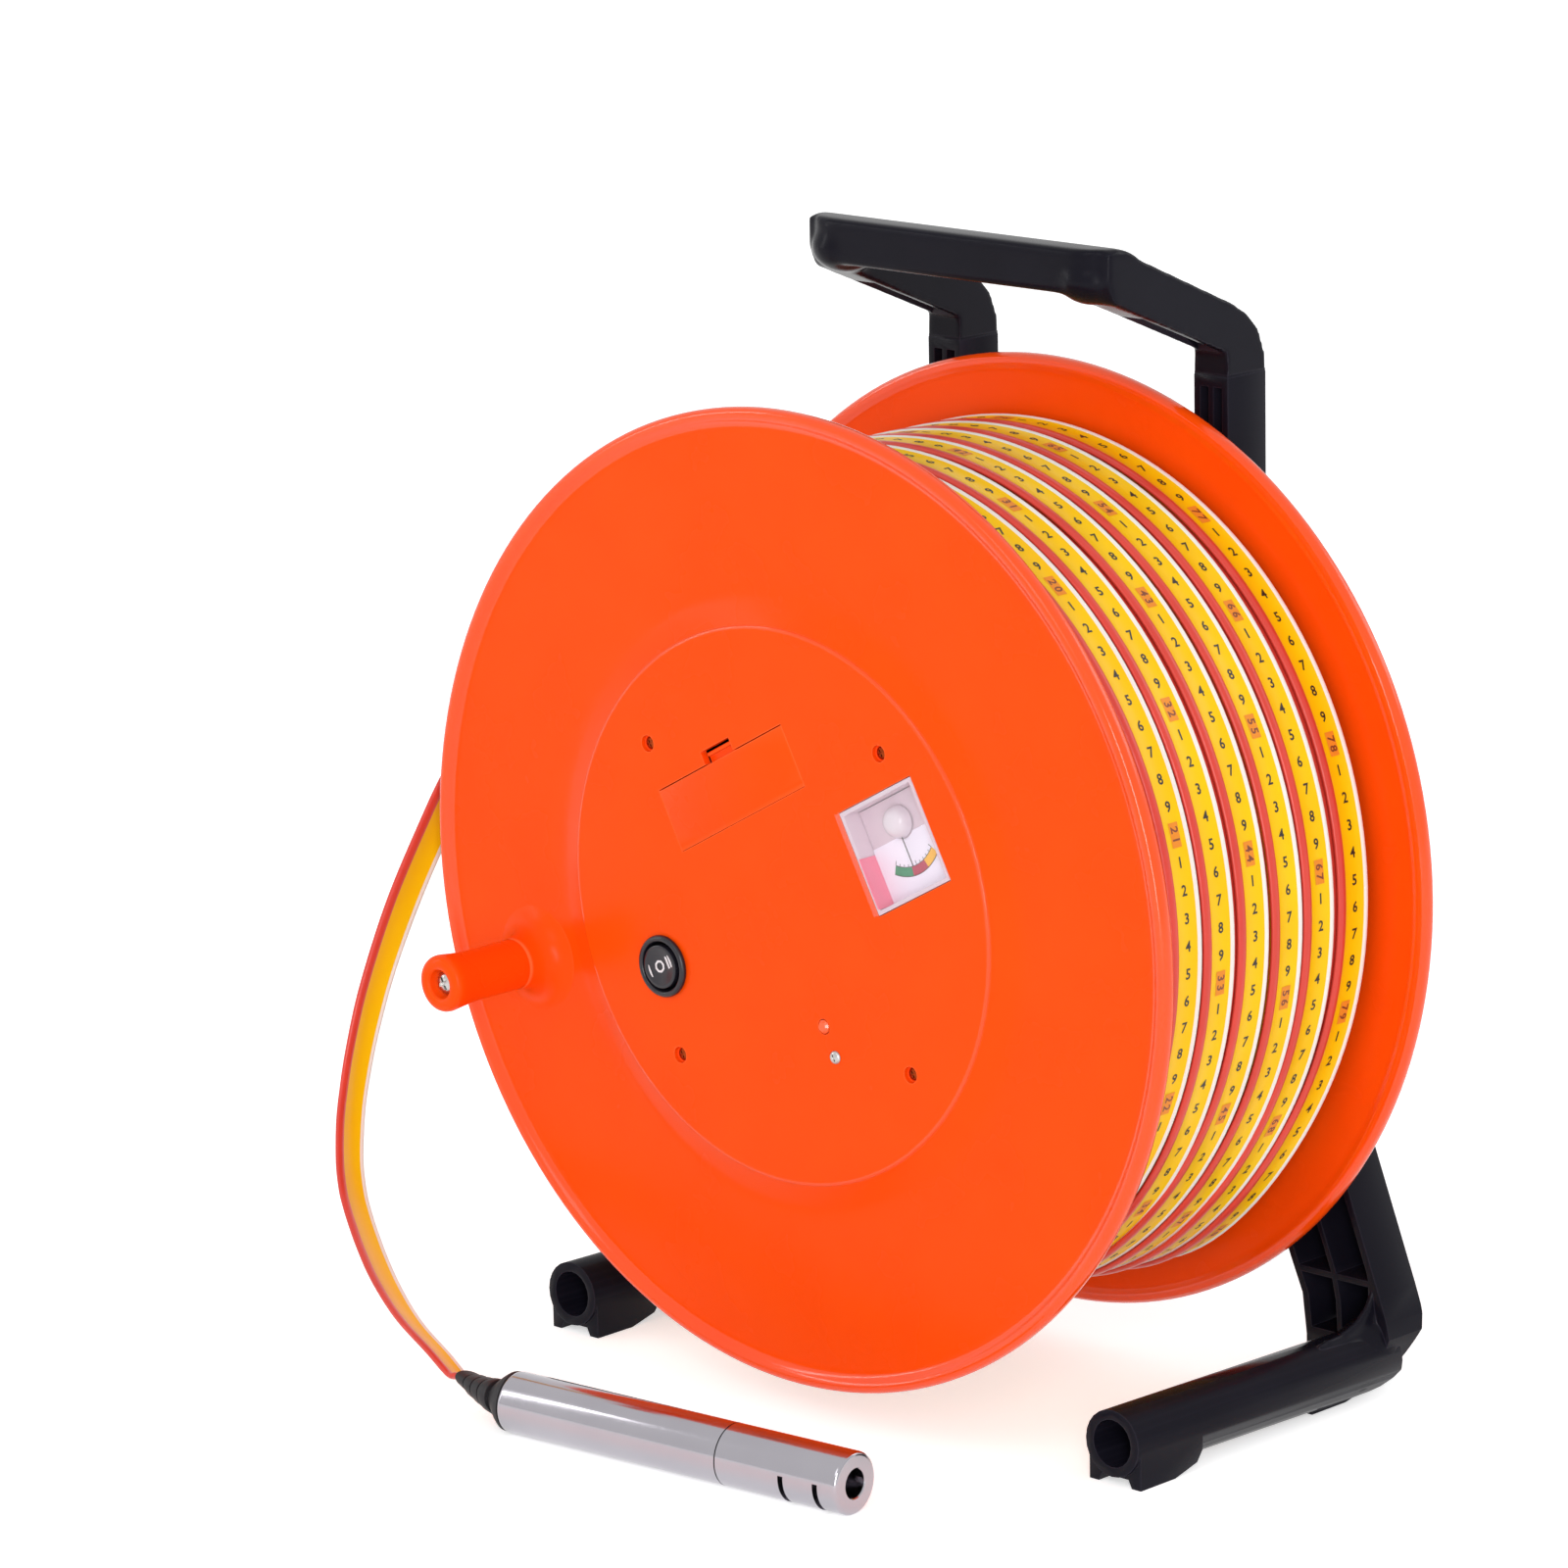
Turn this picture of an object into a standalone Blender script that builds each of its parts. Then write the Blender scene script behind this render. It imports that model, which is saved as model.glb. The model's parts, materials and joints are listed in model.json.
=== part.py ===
"""Water level meter: a hand-wound reel of measuring tape on a moulded stand, with a steel probe.

Metres, +Z up, -Y to the front, origin on the floor under the middle of the object.
"""
import math

import bmesh
import bpy
from mathutils import Matrix, Vector

for old in list(bpy.data.objects):
    bpy.data.objects.remove(old, do_unlink=True)

MM = 0.001
GAP = 0.3 * MM
ROUND_STEPS = 48
SMALL_STEPS = 16

# Reel: distances y run back from the front rim, heights z from the axle
FLANGE_RADIUS = 175.0 * MM
FLANGE_WALL = 3.0 * MM
RIM_DEPTH = 6.6 * MM
RIM_WIDTH = 6.5 * MM
FIELD_Y = 2.5 * MM
PANEL_RADIUS = 99.5 * MM
PANEL_RISE = 5.5 * MM
BAND_WIDTH = 10.5 * MM
REEL_DEPTH = 143.9 * MM
CORE_RADIUS = 110.0 * MM
CORE_WALL = 3.0 * MM
WEB_Y = REEL_DEPTH / 2
WEB_THICK = 3.0 * MM
HUB_TUBE_RADIUS = 14.0 * MM
HUB_TUBE_FRONT = 40.0 * MM

# Wound tape: flat, several turns side by side
TAPE_WIDTH = 16.0 * MM
TAPE_THICK = 2.0 * MM
TURN_COUNT = 7
FIRST_TURN_Y = 18.4 * MM
TURN_PITCH = (REEL_DEPTH - 2 * FIRST_TURN_Y) / (TURN_COUNT - 1)
FLANGE_COVER = 21.0 * MM
PACK_RADIUS = FLANGE_RADIUS - FLANGE_COVER

# Stand
AXLE_HEIGHT = 188.5 * MM
AXLE_RADIUS = 6.0 * MM
FRAME_CLEARANCE = 12.1 * MM
FRAME_DEPTH = 20.6 * MM
FRAME_FRONT_Y = REEL_DEPTH + FRAME_CLEARANCE
FRAME_BACK_Y = FRAME_FRONT_Y + FRAME_DEPTH
FRAME_WALL = 2.8 * MM
BACK_WALL = 3.0 * MM
RIB_THICK = 2.2 * MM
UPRIGHT_INNER_X = 55.9 * MM
UPRIGHT_OUTER_X = 71.5 * MM
FOOT_X = 132.2 * MM
FOOT_RADIUS = 12.0 * MM
FOOT_BORE_RADIUS = 8.5 * MM
FOOT_BORE_DEPTH = 105.0 * MM
FOOT_FRONT_Y = 20.5 * MM
FOOT_AXIS_DROP = AXLE_HEIGHT - 15.2 * MM
FOOT_SLOPE = math.radians(1.2)
SADDLE_LENGTH = 32.7 * MM
HUB_BOSS_RADIUS = 24.0 * MM
CROSS_HALF_HEIGHT = 22.0 * MM
GRIP_BACK_Y = FRAME_FRONT_Y - 45.0 * MM
GRIP_FRONT_Y = GRIP_BACK_Y - 22.0 * MM
GRIP_TOP = 225.0 * MM
GRIP_HEIGHT = 16.0 * MM
GRIP_CORNER = 14.0 * MM
GRIP_EDGE = 4.0 * MM
ARM_DEPTH = 18.7 * MM

# Raised panel: its parts stand in a frame turned with the reel, u across and v up
PANEL_TURN = math.radians(28.5)
SCREW_CIRCLE = 79.4 * MM
SCREW_START = math.radians(23.0)
SCREW_RADIUS = 1.75 * MM
SCREW_HEAD_RADIUS = 3.6 * MM
SCREW_HEAD_DEPTH = 1.4 * MM
SCREW_LENGTH = 14.0 * MM
POST_RADIUS = 5.0 * MM

DOOR_LENGTH = 68.2 * MM
DOOR_HEIGHT = 22.3 * MM
DOOR_THICK = 2.0 * MM
DOOR_V = 33.7 * MM
DOOR_GAP = 0.4 * MM
DOOR_PIN_RADIUS = 0.7 * MM
DOOR_PIN_LENGTH = 1.6 * MM
DOOR_PIN_DEPTH = 1.4 * MM
DOOR_PIN_RISE = 1.0 * MM
LATCH_WIDTH = 14.0 * MM
LATCH_HEIGHT = 4.4 * MM
TRAY_WALL = 1.5 * MM
TRAY_DEPTH = 28.0 * MM
BATTERY_LENGTH = 48.5 * MM
BATTERY_THICK = 17.5 * MM
BATTERY_WIDTH = 26.0 * MM

METER_U = 64.0 * MM
METER_SIDE = 38.0 * MM
METER_DEPTH = 18.0 * MM
METER_WALL = 1.5 * MM
METER_PROUD = 1.5 * MM
DIAL_Y = 4.0 * MM
DIAL_THICK = 1.0 * MM
NEEDLE_PIVOT_V = 8.0 * MM
NEEDLE_LENGTH = 21.0 * MM

SWITCH_U = -64.0 * MM
SWITCH_BEZEL_RADIUS = 11.25 * MM
SWITCH_BODY_RADIUS = 9.8 * MM
SWITCH_DEPTH = 22.0 * MM
SWITCH_WELL_RADIUS = 9.0 * MM
ROCKER_RADIUS = 7.9 * MM

BOARD_LENGTH = 64.0 * MM
BOARD_HEIGHT = 30.0 * MM
BOARD_THICK = 1.6 * MM
BOARD_Y = 12.0 * MM
BOARD_SCREW_V = -56.2 * MM
LAMP_V = -44.8 * MM
LAMP_RADIUS = 2.5 * MM

# Crank knob
KNOB_INSET = 43.8 * MM
KNOB_CIRCLE = FLANGE_RADIUS - KNOB_INSET
KNOB_ANGLE = math.radians(197.7)
KNOB_LENGTH = 46.5 * MM
KNOB_RADIUS = 9.2 * MM
KNOB_TIP_RADIUS = 10.4 * MM
KNOB_FLARE = 14.0 * MM
KNOB_RECESS = 7.0 * MM
KNOB_BOSS_RADIUS = 12.0 * MM
KNOB_BOSS_RISE = 2.0 * MM
KNOB_SCREW_RADIUS = 2.5 * MM

# Probe, lying on the floor in front of the reel
BARREL_RADIUS = 11.25 * MM
BARREL_WALL = 1.6 * MM
UPPER_LENGTH = 99.0 * MM
NOSE_LENGTH = 53.0 * MM
PROBE_YAW = math.radians(5.1)
PROBE_BACK_X = -65.6 * MM
PROBE_BACK_Y = -72.8 * MM
NOSE_BORE_RADIUS = 5.2 * MM
NOSE_BORE_DEPTH = 28.0 * MM
ELECTRODE_RADIUS = 2.8 * MM
SLOT_WIDTH = 2.2 * MM
SLOT_PLACES = (9.0 * MM, 24.0 * MM)

# The middle of the object, front to back, is y = 0 of the model
PROBE_FRONT_Y = PROBE_BACK_Y - BARREL_RADIUS * math.cos(PROBE_YAW)
REEL_Y = -(FRAME_BACK_Y + PROBE_FRONT_Y) / 2
PANEL_Y = FIELD_Y - PANEL_RISE
PANEL_BACK = PANEL_Y + FLANGE_WALL
CORE_FRONT = FIELD_Y + FLANGE_WALL + GAP
CORE_BACK = REEL_DEPTH - CORE_FRONT
REAR_FACE = REEL_DEPTH - PANEL_Y
REAR_INNER = REAR_FACE - FLANGE_WALL

parts = bpy.data.collections.new("water_level_meter")
cutters = bpy.data.collections.new("cutters")
for group in (parts, cutters):
    bpy.context.scene.collection.children.link(group)


def place(x, y, z):
    """Point from reel distances: x right, y back from the front rim, z up from the axle."""
    return Vector((x, y + REEL_Y, z + AXLE_HEIGHT))


def on_panel(u, v, y):
    """Point from the raised panel's own directions, which are turned with the reel."""
    c, s = math.cos(PANEL_TURN), math.sin(PANEL_TURN)
    return place(u * c - v * s, y, u * s + v * c)


def finish(name, rgb, roughness, metallic=0.0, alpha=1.0):
    """Principled BSDF in a plain colour, roughness and metallic value."""
    made = bpy.data.materials.new(name)
    made.use_nodes = True
    shader = made.node_tree.nodes["Principled BSDF"]
    shader.inputs["Base Color"].default_value = (*rgb, 1.0)
    shader.inputs["Roughness"].default_value = roughness
    shader.inputs["Metallic"].default_value = metallic
    shader.inputs["Alpha"].default_value = alpha
    return made


def keep(obj, look=None):
    """File a finished object with the parts, or a tool shape with the cutters."""
    for owner in list(obj.users_collection):
        owner.objects.unlink(obj)
    if look:
        parts.objects.link(obj)
        obj.data.materials.clear()
        obj.data.materials.append(finish(obj.name + "_finish", *look))
        obj.data.shade_smooth()
        obj.data.set_sharp_from_angle(angle=math.radians(35))
    else:
        cutters.objects.link(obj)
        obj.hide_render = True
        obj.display_type = "WIRE"
    return obj


def mesh_object(name, bm):
    """Object from a bmesh, with its normals outward."""
    bmesh.ops.recalc_face_normals(bm, faces=bm.faces)
    data = bpy.data.meshes.new(name)
    bm.to_mesh(data)
    bm.free()
    obj = bpy.data.objects.new(name, data)
    bpy.context.scene.collection.objects.link(obj)
    return obj


def box(name, size, turn=0.0):
    """Box of a size, centred on its origin and turned about Y with the panel."""
    bm = bmesh.new()
    bmesh.ops.create_cube(bm, size=1.0, matrix=Matrix.Diagonal((*size, 1.0)))
    obj = mesh_object(name, bm)
    obj.rotation_euler = (0.0, -turn, 0.0)
    return obj


def rod(name, radius, length, steps=SMALL_STEPS, tip_radius=None):
    """Cylinder or cone along +Y from its origin."""
    bm = bmesh.new()
    bmesh.ops.create_cone(bm, cap_ends=True, segments=steps, radius1=radius,
                          radius2=radius if tip_radius is None else tip_radius, depth=length,
                          matrix=Matrix.Translation((0, 0, length / 2)))
    bmesh.ops.rotate(bm, verts=bm.verts, matrix=Matrix.Rotation(-math.pi / 2, 3, "X"))
    return mesh_object(name, bm)


def turned(name, profile, steps=ROUND_STEPS, closed=True):
    """Turned shape about +Y: a profile of (radius, y) points, outer side from back to front."""
    data = bpy.data.meshes.new(name)
    points = [(radius, 0.0, y) for radius, y in profile]
    edges = [(i, i + 1) for i in range(len(points) - 1)]
    if closed:
        edges.append((len(points) - 1, 0))
    data.from_pydata(points, edges, [])
    obj = bpy.data.objects.new(name, data)
    bpy.context.scene.collection.objects.link(obj)
    obj.rotation_euler = (-math.pi / 2, 0.0, 0.0)
    screw = obj.modifiers.new("turn", "SCREW")
    screw.steps = screw.render_steps = steps
    screw.use_merge_vertices = True
    screw.merge_threshold = 0.00001
    return obj


PLANES = {
    "XZ": Matrix(((1, 0, 0), (0, 0, -1), (0, 1, 0))).to_4x4(),
    "YZ": Matrix(((0, 0, 1), (1, 0, 0), (0, 1, 0))).to_4x4(),
    "XY": Matrix.Identity(4),
}
NORMALS = {"XZ": Vector((0, 1, 0)), "YZ": Vector((1, 0, 0)), "XY": Vector((0, 0, 1))}


def plate(name, outline, plane, start, end):
    """Flat outline in a plane of the stand, thick from start to end along the plane's normal."""
    curve = bpy.data.curves.new(name, "CURVE")
    curve.dimensions = "2D"
    curve.fill_mode = "BOTH"
    curve.extrude = (end - start) / 2
    spline = curve.splines.new("POLY")
    spline.points.add(len(outline) - 1)
    for point, (a, b) in zip(spline.points, outline):
        point.co = (a, b, 0.0, 1.0)
    spline.use_cyclic_u = True
    flat = bpy.data.objects.new(name + "_outline", curve)
    bpy.context.scene.collection.objects.link(flat)
    flat.matrix_world = Matrix.Translation(NORMALS[plane] * (start + end) / 2) @ PLANES[plane]
    bpy.context.view_layer.update()
    graph = bpy.context.evaluated_depsgraph_get()
    data = bpy.data.meshes.new_from_object(flat.evaluated_get(graph))
    bm = bmesh.new()
    bm.from_mesh(data)
    bmesh.ops.remove_doubles(bm, verts=bm.verts, dist=0.000001)
    bmesh.ops.transform(bm, matrix=flat.matrix_world, verts=bm.verts)
    bpy.data.objects.remove(flat, do_unlink=True)
    made = mesh_object(name, bm)
    made.location = place(0, 0, 0)
    return made


def together(name, pieces):
    """One tool shape of several that don't touch each other, each where it stands."""
    bpy.context.view_layer.update()
    graph = bpy.context.evaluated_depsgraph_get()
    bm = bmesh.new()
    for piece in pieces:
        data = bpy.data.meshes.new_from_object(piece.evaluated_get(graph))
        data.transform(piece.matrix_world)
        bm.from_mesh(data)
        bpy.data.objects.remove(piece, do_unlink=True)
    return mesh_object(name, bm)


def several(name, radius, start, end, places, steps=12):
    """One tool shape of equal cylinders along Y from start to end, at several places."""
    bm = bmesh.new()
    for at in places:
        move = Matrix.Translation((at.x, (start + end) / 2 + REEL_Y, at.z))
        lay = Matrix.Rotation(math.pi / 2, 4, "X")
        bmesh.ops.create_cone(bm, cap_ends=True, segments=steps, radius1=radius, radius2=radius,
                              depth=end - start, matrix=move @ lay)
    return mesh_object(name, bm)


def boolean(obj, tool, operation="DIFFERENCE"):
    """Cut or join with a tool shape, which goes with the cutters."""
    step = obj.modifiers.new(operation.lower(), "BOOLEAN")
    step.operation = operation
    step.solver = "EXACT"
    step.object = keep(tool)
    return obj


def bevel(obj, width, segments=2):
    """Round an object's sharp edges."""
    step = obj.modifiers.new("rounded", "BEVEL")
    step.width = width
    step.segments = segments
    step.limit_method = "ANGLE"
    step.angle_limit = math.radians(40)
    step.use_clamp_overlap = False
    return obj


ORANGE = ((0.95, 0.09, 0.01), 0.35)
BLACK = ((0.02, 0.02, 0.025), 0.45)
STEEL = ((0.55, 0.54, 0.55), 0.3, 1.0)
ZINC = ((0.62, 0.62, 0.60), 0.35, 1.0)
BRONZE = ((0.55, 0.35, 0.12), 0.4, 1.0)
YELLOW = ((0.95, 0.62, 0.02), 0.4)
RUBBER = ((0.015, 0.015, 0.015), 0.7)
WHITE = ((0.85, 0.84, 0.82), 0.4)
CLEAR = ((0.9, 0.92, 0.95), 0.05, 0.0, 0.35)
GREEN = ((0.02, 0.20, 0.06), 0.4)


# Stand: half of one black moulding, mirrored at x = 0
def edge_x(points, z):
    """Sideways place of a slanted edge, given by (x, z) points from the top down, at height z."""
    for (x0, z0), (x1, z1) in zip(points, points[1:]):
        if z1 <= z <= z0:
            return x0 + (x1 - x0) * (z0 - z) / (z0 - z1)
    return points[-1][0]


SEAM = 0.1 * MM
ARM_ROOT = 172.0 * MM
HEEL_X = 144.5 * MM
FLOOR = -AXLE_HEIGHT
LEG_BOTTOM = FLOOR + 1.2 * MM
INNER_EDGE = [(UPRIGHT_INNER_X, ARM_ROOT), (UPRIGHT_INNER_X, -38 * MM), (98.9 * MM, FLOOR + 44.5 * MM),
              (104.5 * MM, FLOOR + 31.5 * MM), (106.4 * MM, FLOOR + 16.5 * MM), (106.4 * MM, LEG_BOTTOM)]
OUTER_EDGE = [(UPRIGHT_OUTER_X, ARM_ROOT), (UPRIGHT_OUTER_X, 30 * MM), (74.0 * MM, 18 * MM),
              (139.9 * MM, FLOOR + 36.8 * MM), (143.2 * MM, FLOOR + 27.5 * MM), (HEEL_X, FLOOR + 21.5 * MM),
              (137.0 * MM, LEG_BOTTOM)]
THICK_WALL_X = 134.8 * MM
POCKET_BACK_Y = FRAME_BACK_Y - BACK_WALL


def pocket(top, bottom, side):
    """Pocket between two shelves, on one side of the centre rib."""
    inner, outer = [], []
    heights = sorted({top, bottom} | {z for _, z in INNER_EDGE + OUTER_EDGE if bottom < z < top},
                     reverse=True)
    for z in heights:
        low = edge_x(INNER_EDGE, z) + FRAME_WALL
        high = min(edge_x(OUTER_EDGE, z) - FRAME_WALL, THICK_WALL_X)
        middle = (low + high) / 2
        inner.append((low if side < 0 else middle + RIB_THICK / 2, z))
        outer.append((middle - RIB_THICK / 2 if side < 0 else high, z))
    return plate("pocket", inner + outer[::-1], "XZ", FRAME_FRONT_Y - MM, POCKET_BACK_Y)


stand = plate("stand_frame", INNER_EDGE + OUTER_EDGE[::-1], "XZ", FRAME_FRONT_Y, FRAME_BACK_Y)

ARM_TOP = GRIP_TOP - 0.4 * MM
ARM_FRONT_Y = GRIP_FRONT_Y + 6 * MM
UNDERSIDE = [(FRAME_FRONT_Y + SEAM, 181.0 * MM), (ARM_FRONT_Y, GRIP_TOP - ARM_DEPTH)]
arm_outline = [(FRAME_FRONT_Y + SEAM, ARM_ROOT - 6 * MM), *UNDERSIDE, (ARM_FRONT_Y, ARM_TOP),
               (ARM_FRONT_Y + 6 * MM, ARM_TOP), (FRAME_BACK_Y - 16.6 * MM, 197.4 * MM),
               (FRAME_BACK_Y - 9.1 * MM, 193.0 * MM), (FRAME_BACK_Y - 3.4 * MM, 187.0 * MM),
               (FRAME_BACK_Y - SEAM, 178.5 * MM),
               (FRAME_BACK_Y - SEAM, ARM_ROOT - 6 * MM)]
arm = plate("arm", arm_outline, "YZ", UPRIGHT_INNER_X + SEAM, UPRIGHT_OUTER_X - SEAM)
boolean(stand, arm, "UNION")

grip_section = []
for centre_y, centre_z, first in ((GRIP_BACK_Y, GRIP_TOP, 0), (GRIP_FRONT_Y, GRIP_TOP, 90),
                                  (GRIP_FRONT_Y, GRIP_TOP - GRIP_HEIGHT, 180),
                                  (GRIP_BACK_Y, GRIP_TOP - GRIP_HEIGHT, 270)):
    centre_y += GRIP_EDGE if centre_y == GRIP_FRONT_Y else -GRIP_EDGE
    centre_z += GRIP_EDGE if centre_z < GRIP_TOP else -GRIP_EDGE
    for angle in [math.radians(first + 30 * i) for i in range(4)]:
        grip_section.append((centre_y + GRIP_EDGE * math.cos(angle), centre_z + GRIP_EDGE * math.sin(angle)))
grip = plate("grip", grip_section, "YZ", -20 * MM, UPRIGHT_OUTER_X)
corner = [(UPRIGHT_OUTER_X - GRIP_CORNER * (1 - math.sin(a)), GRIP_FRONT_Y + GRIP_CORNER * (1 - math.cos(a)))
          for a in [math.radians(15 * i) for i in range(7)]]
outside = (UPRIGHT_OUTER_X + MM, GRIP_FRONT_Y - MM)
boolean(grip, plate("corner_cut", [(corner[0][0] - MM, outside[1]), corner[0], *corner[1:],
                                   (outside[0], corner[-1][1] + MM), outside],
                    "XY", GRIP_TOP - GRIP_HEIGHT - MM, GRIP_TOP + MM))
boolean(stand, grip, "UNION")

foot = rod("foot", FOOT_RADIUS, FRAME_FRONT_Y + 8 * MM - FOOT_FRONT_Y, 24)
foot.location = place(FOOT_X, FOOT_FRONT_Y, -FOOT_AXIS_DROP)
foot.rotation_euler = (-FOOT_SLOPE, 0.0, 0.0)
boolean(stand, foot, "UNION")

SADDLE_HALF = FOOT_RADIUS - 3 * SEAM
SADDLE_FRONT = FOOT_FRONT_Y + 1.5 * MM
SADDLE_END = SADDLE_FRONT + SADDLE_LENGTH
saddle_outline = [(SADDLE_FRONT, FLOOR), (SADDLE_FRONT + 18 * MM, FLOOR),
                  (SADDLE_END - 3 * MM, FLOOR + 3 * MM), (SADDLE_END, FLOOR + 7 * MM),
                  (SADDLE_END, -FOOT_AXIS_DROP), (SADDLE_FRONT, -FOOT_AXIS_DROP)]
HEEL_PAD_Y = (FRAME_FRONT_Y - 32 * MM, FRAME_FRONT_Y + 2 * MM)
HEEL_PAD_HALF = 6.0 * MM
heel_outline = [(FOOT_X - HEEL_PAD_HALF, FLOOR), (FOOT_X + HEEL_PAD_HALF, FLOOR),
                (FOOT_X + HEEL_PAD_HALF, -FOOT_AXIS_DROP), (FOOT_X - HEEL_PAD_HALF, -FOOT_AXIS_DROP)]
CROSS_FRONT_Y = FRAME_FRONT_Y + 4 * MM
CROSS_BACK_Y = FRAME_BACK_Y - 5 * SEAM
CROSS_END_X = UPRIGHT_INNER_X + MM
cross_outline = [(-20 * MM, -CROSS_HALF_HEIGHT), (CROSS_END_X, -CROSS_HALF_HEIGHT),
                 (CROSS_END_X, CROSS_HALF_HEIGHT), (-20 * MM, CROSS_HALF_HEIGHT)]
boolean(stand, together("pads_and_cross", [
    plate("saddle", saddle_outline, "YZ", FOOT_X - SADDLE_HALF, FOOT_X + SADDLE_HALF),
    plate("heel_pad", heel_outline, "XZ", *HEEL_PAD_Y),
    plate("cross", cross_outline, "XZ", CROSS_FRONT_Y, CROSS_BACK_Y)]), "UNION")

BUSH_FLANGE = 1.5 * MM
WASHER_THICK = 1.2 * MM
HUB_TUBE_BACK = REAR_FACE + GAP
REAR_WASHER_Y = HUB_TUBE_BACK + BUSH_FLANGE + 2 * GAP
BOSS_FRONT_Y = REAR_WASHER_Y + WASHER_THICK + GAP
boss = rod("boss", HUB_BOSS_RADIUS, FRAME_BACK_Y - BOSS_FRONT_Y, 32)
boss.location = place(0, BOSS_FRONT_Y, 0)
boolean(stand, boss, "UNION")

pockets = []
SHELVES = [ARM_ROOT - FRAME_WALL, 100 * MM, CROSS_HALF_HEIGHT + 3 * MM, -CROSS_HALF_HEIGHT - 3 * MM,
           -90 * MM, FLOOR + 40.5 * MM, FLOOR + 18.5 * MM]
for above, below in zip(SHELVES, SHELVES[1:]):
    if not above > 0 > below:
        pockets += [pocket(above - RIB_THICK / 2, below + RIB_THICK / 2, side) for side in (-1, 1)]
cross_top = CROSS_HALF_HEIGHT - FRAME_WALL
cross_low_x = HUB_BOSS_RADIUS + FRAME_WALL
pockets.append(plate("cross_pocket", [(cross_low_x, -cross_top), (UPRIGHT_INNER_X - MM, -cross_top),
                                      (UPRIGHT_INNER_X - MM, cross_top), (cross_low_x, cross_top)],
                     "XZ", CROSS_FRONT_Y - MM, POCKET_BACK_Y))
slope = (UNDERSIDE[1][1] - UNDERSIDE[0][1]) / (UNDERSIDE[1][0] - UNDERSIDE[0][0])
ARM_POCKET = ((GRIP_BACK_Y + 3 * MM, -4 * MM), (FRAME_FRONT_Y - MM, -4 * MM),
              (FRAME_FRONT_Y - MM, 13.5 * MM), (GRIP_BACK_Y + 3 * MM, 15.5 * MM))
pockets.append(plate("arm_pocket", [(y, UNDERSIDE[0][1] + slope * (y - FRAME_FRONT_Y) + rise)
                                    for y, rise in ARM_POCKET],
                     "YZ", UPRIGHT_INNER_X + FRAME_WALL, UPRIGHT_OUTER_X - FRAME_WALL))
boolean(stand, together("pockets", pockets))

foot_bore = rod("foot_bore", FOOT_BORE_RADIUS, FOOT_BORE_DEPTH + MM, 20)
foot_bore.location = place(FOOT_X, FOOT_FRONT_Y - MM, -FOOT_AXIS_DROP)
foot_bore.rotation_euler = (-FOOT_SLOPE, 0.0, 0.0)
boolean(stand, foot_bore)

TOOTH_WIDTH = 4.0 * MM
ARCH_HALF = FOOT_RADIUS - TOOTH_WIDTH
arch_outline = [(FOOT_X - ARCH_HALF, FLOOR - MM), (FOOT_X + ARCH_HALF, FLOOR - MM),
                (FOOT_X + ARCH_HALF - 2 * MM, FLOOR + 3 * MM), (FOOT_X - ARCH_HALF + 2 * MM, FLOOR + 3 * MM)]
heel_cut_outline = [(FRAME_BACK_Y + MM, FLOOR + 22 * MM), (FRAME_BACK_Y + MM, FLOOR - MM),
                    (HEEL_PAD_Y[1] + MM, FLOOR - MM), (HEEL_PAD_Y[1] + 6 * MM, FLOOR + 5.5 * MM)]
boolean(stand, together("arch_and_heel_cut", [
    plate("arch", arch_outline, "XZ", SADDLE_FRONT - MM, SADDLE_END + MM),
    plate("heel_cut", heel_cut_outline, "YZ", INNER_EDGE[-1][0] - MM, HEEL_X + MM)]))

HEAD_DEPTH = 5.0 * MM
HEAD_RADIUS = 11.0 * MM
hole = AXLE_RADIUS + GAP
seat = HEAD_RADIUS + GAP
axle_hole = turned("axle_hole", [(0, FRAME_BACK_Y + MM), (seat, FRAME_BACK_Y + MM),
                                 (seat, FRAME_BACK_Y - HEAD_DEPTH - GAP),
                                 (hole, FRAME_BACK_Y - HEAD_DEPTH - GAP), (hole, BOSS_FRONT_Y - MM),
                                 (0, BOSS_FRONT_Y - MM)], 24, closed=False)
axle_hole.location = place(0, 0, 0)
boolean(stand, axle_hole)

mirror = stand.modifiers.new("other_half", "MIRROR")
mirror.use_axis = (True, False, False)
mirror.use_bisect_axis = (True, False, False)
mirror.merge_threshold = 0.00001
keep(stand, BLACK)

# Axle with its head sunk in the back of the hub, washers and retaining ring
RING_Y = HUB_TUBE_FRONT - BUSH_FLANGE - 3 * GAP - 2 * WASHER_THICK
AXLE_TIP_Y = RING_Y - 5 * MM
GROOVE_RADIUS = 4.8 * MM
axle = turned("axle", [(0, FRAME_BACK_Y), (HEAD_RADIUS, FRAME_BACK_Y),
                       (HEAD_RADIUS, FRAME_BACK_Y - HEAD_DEPTH),
                       (AXLE_RADIUS, FRAME_BACK_Y - HEAD_DEPTH),
                       (AXLE_RADIUS, RING_Y + WASHER_THICK + GAP / 2),
                       (GROOVE_RADIUS, RING_Y + WASHER_THICK + GAP / 2),
                       (GROOVE_RADIUS, RING_Y - GAP / 2), (AXLE_RADIUS, RING_Y - GAP / 2),
                       (AXLE_RADIUS, AXLE_TIP_Y + MM), (AXLE_RADIUS - MM, AXLE_TIP_Y),
                       (0, AXLE_TIP_Y)], 24, closed=False)
axle.location = place(0, 0, 0)
keep(axle, STEEL)


def washer(name, inner, outer, y, thick, look, steps=24):
    """Flat ring about the axle, from y backwards."""
    made = turned(name, [(outer, y + thick), (outer, y), (inner, y), (inner, y + thick)], steps)
    made.location = place(0, 0, 0)
    return keep(made, look)


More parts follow.
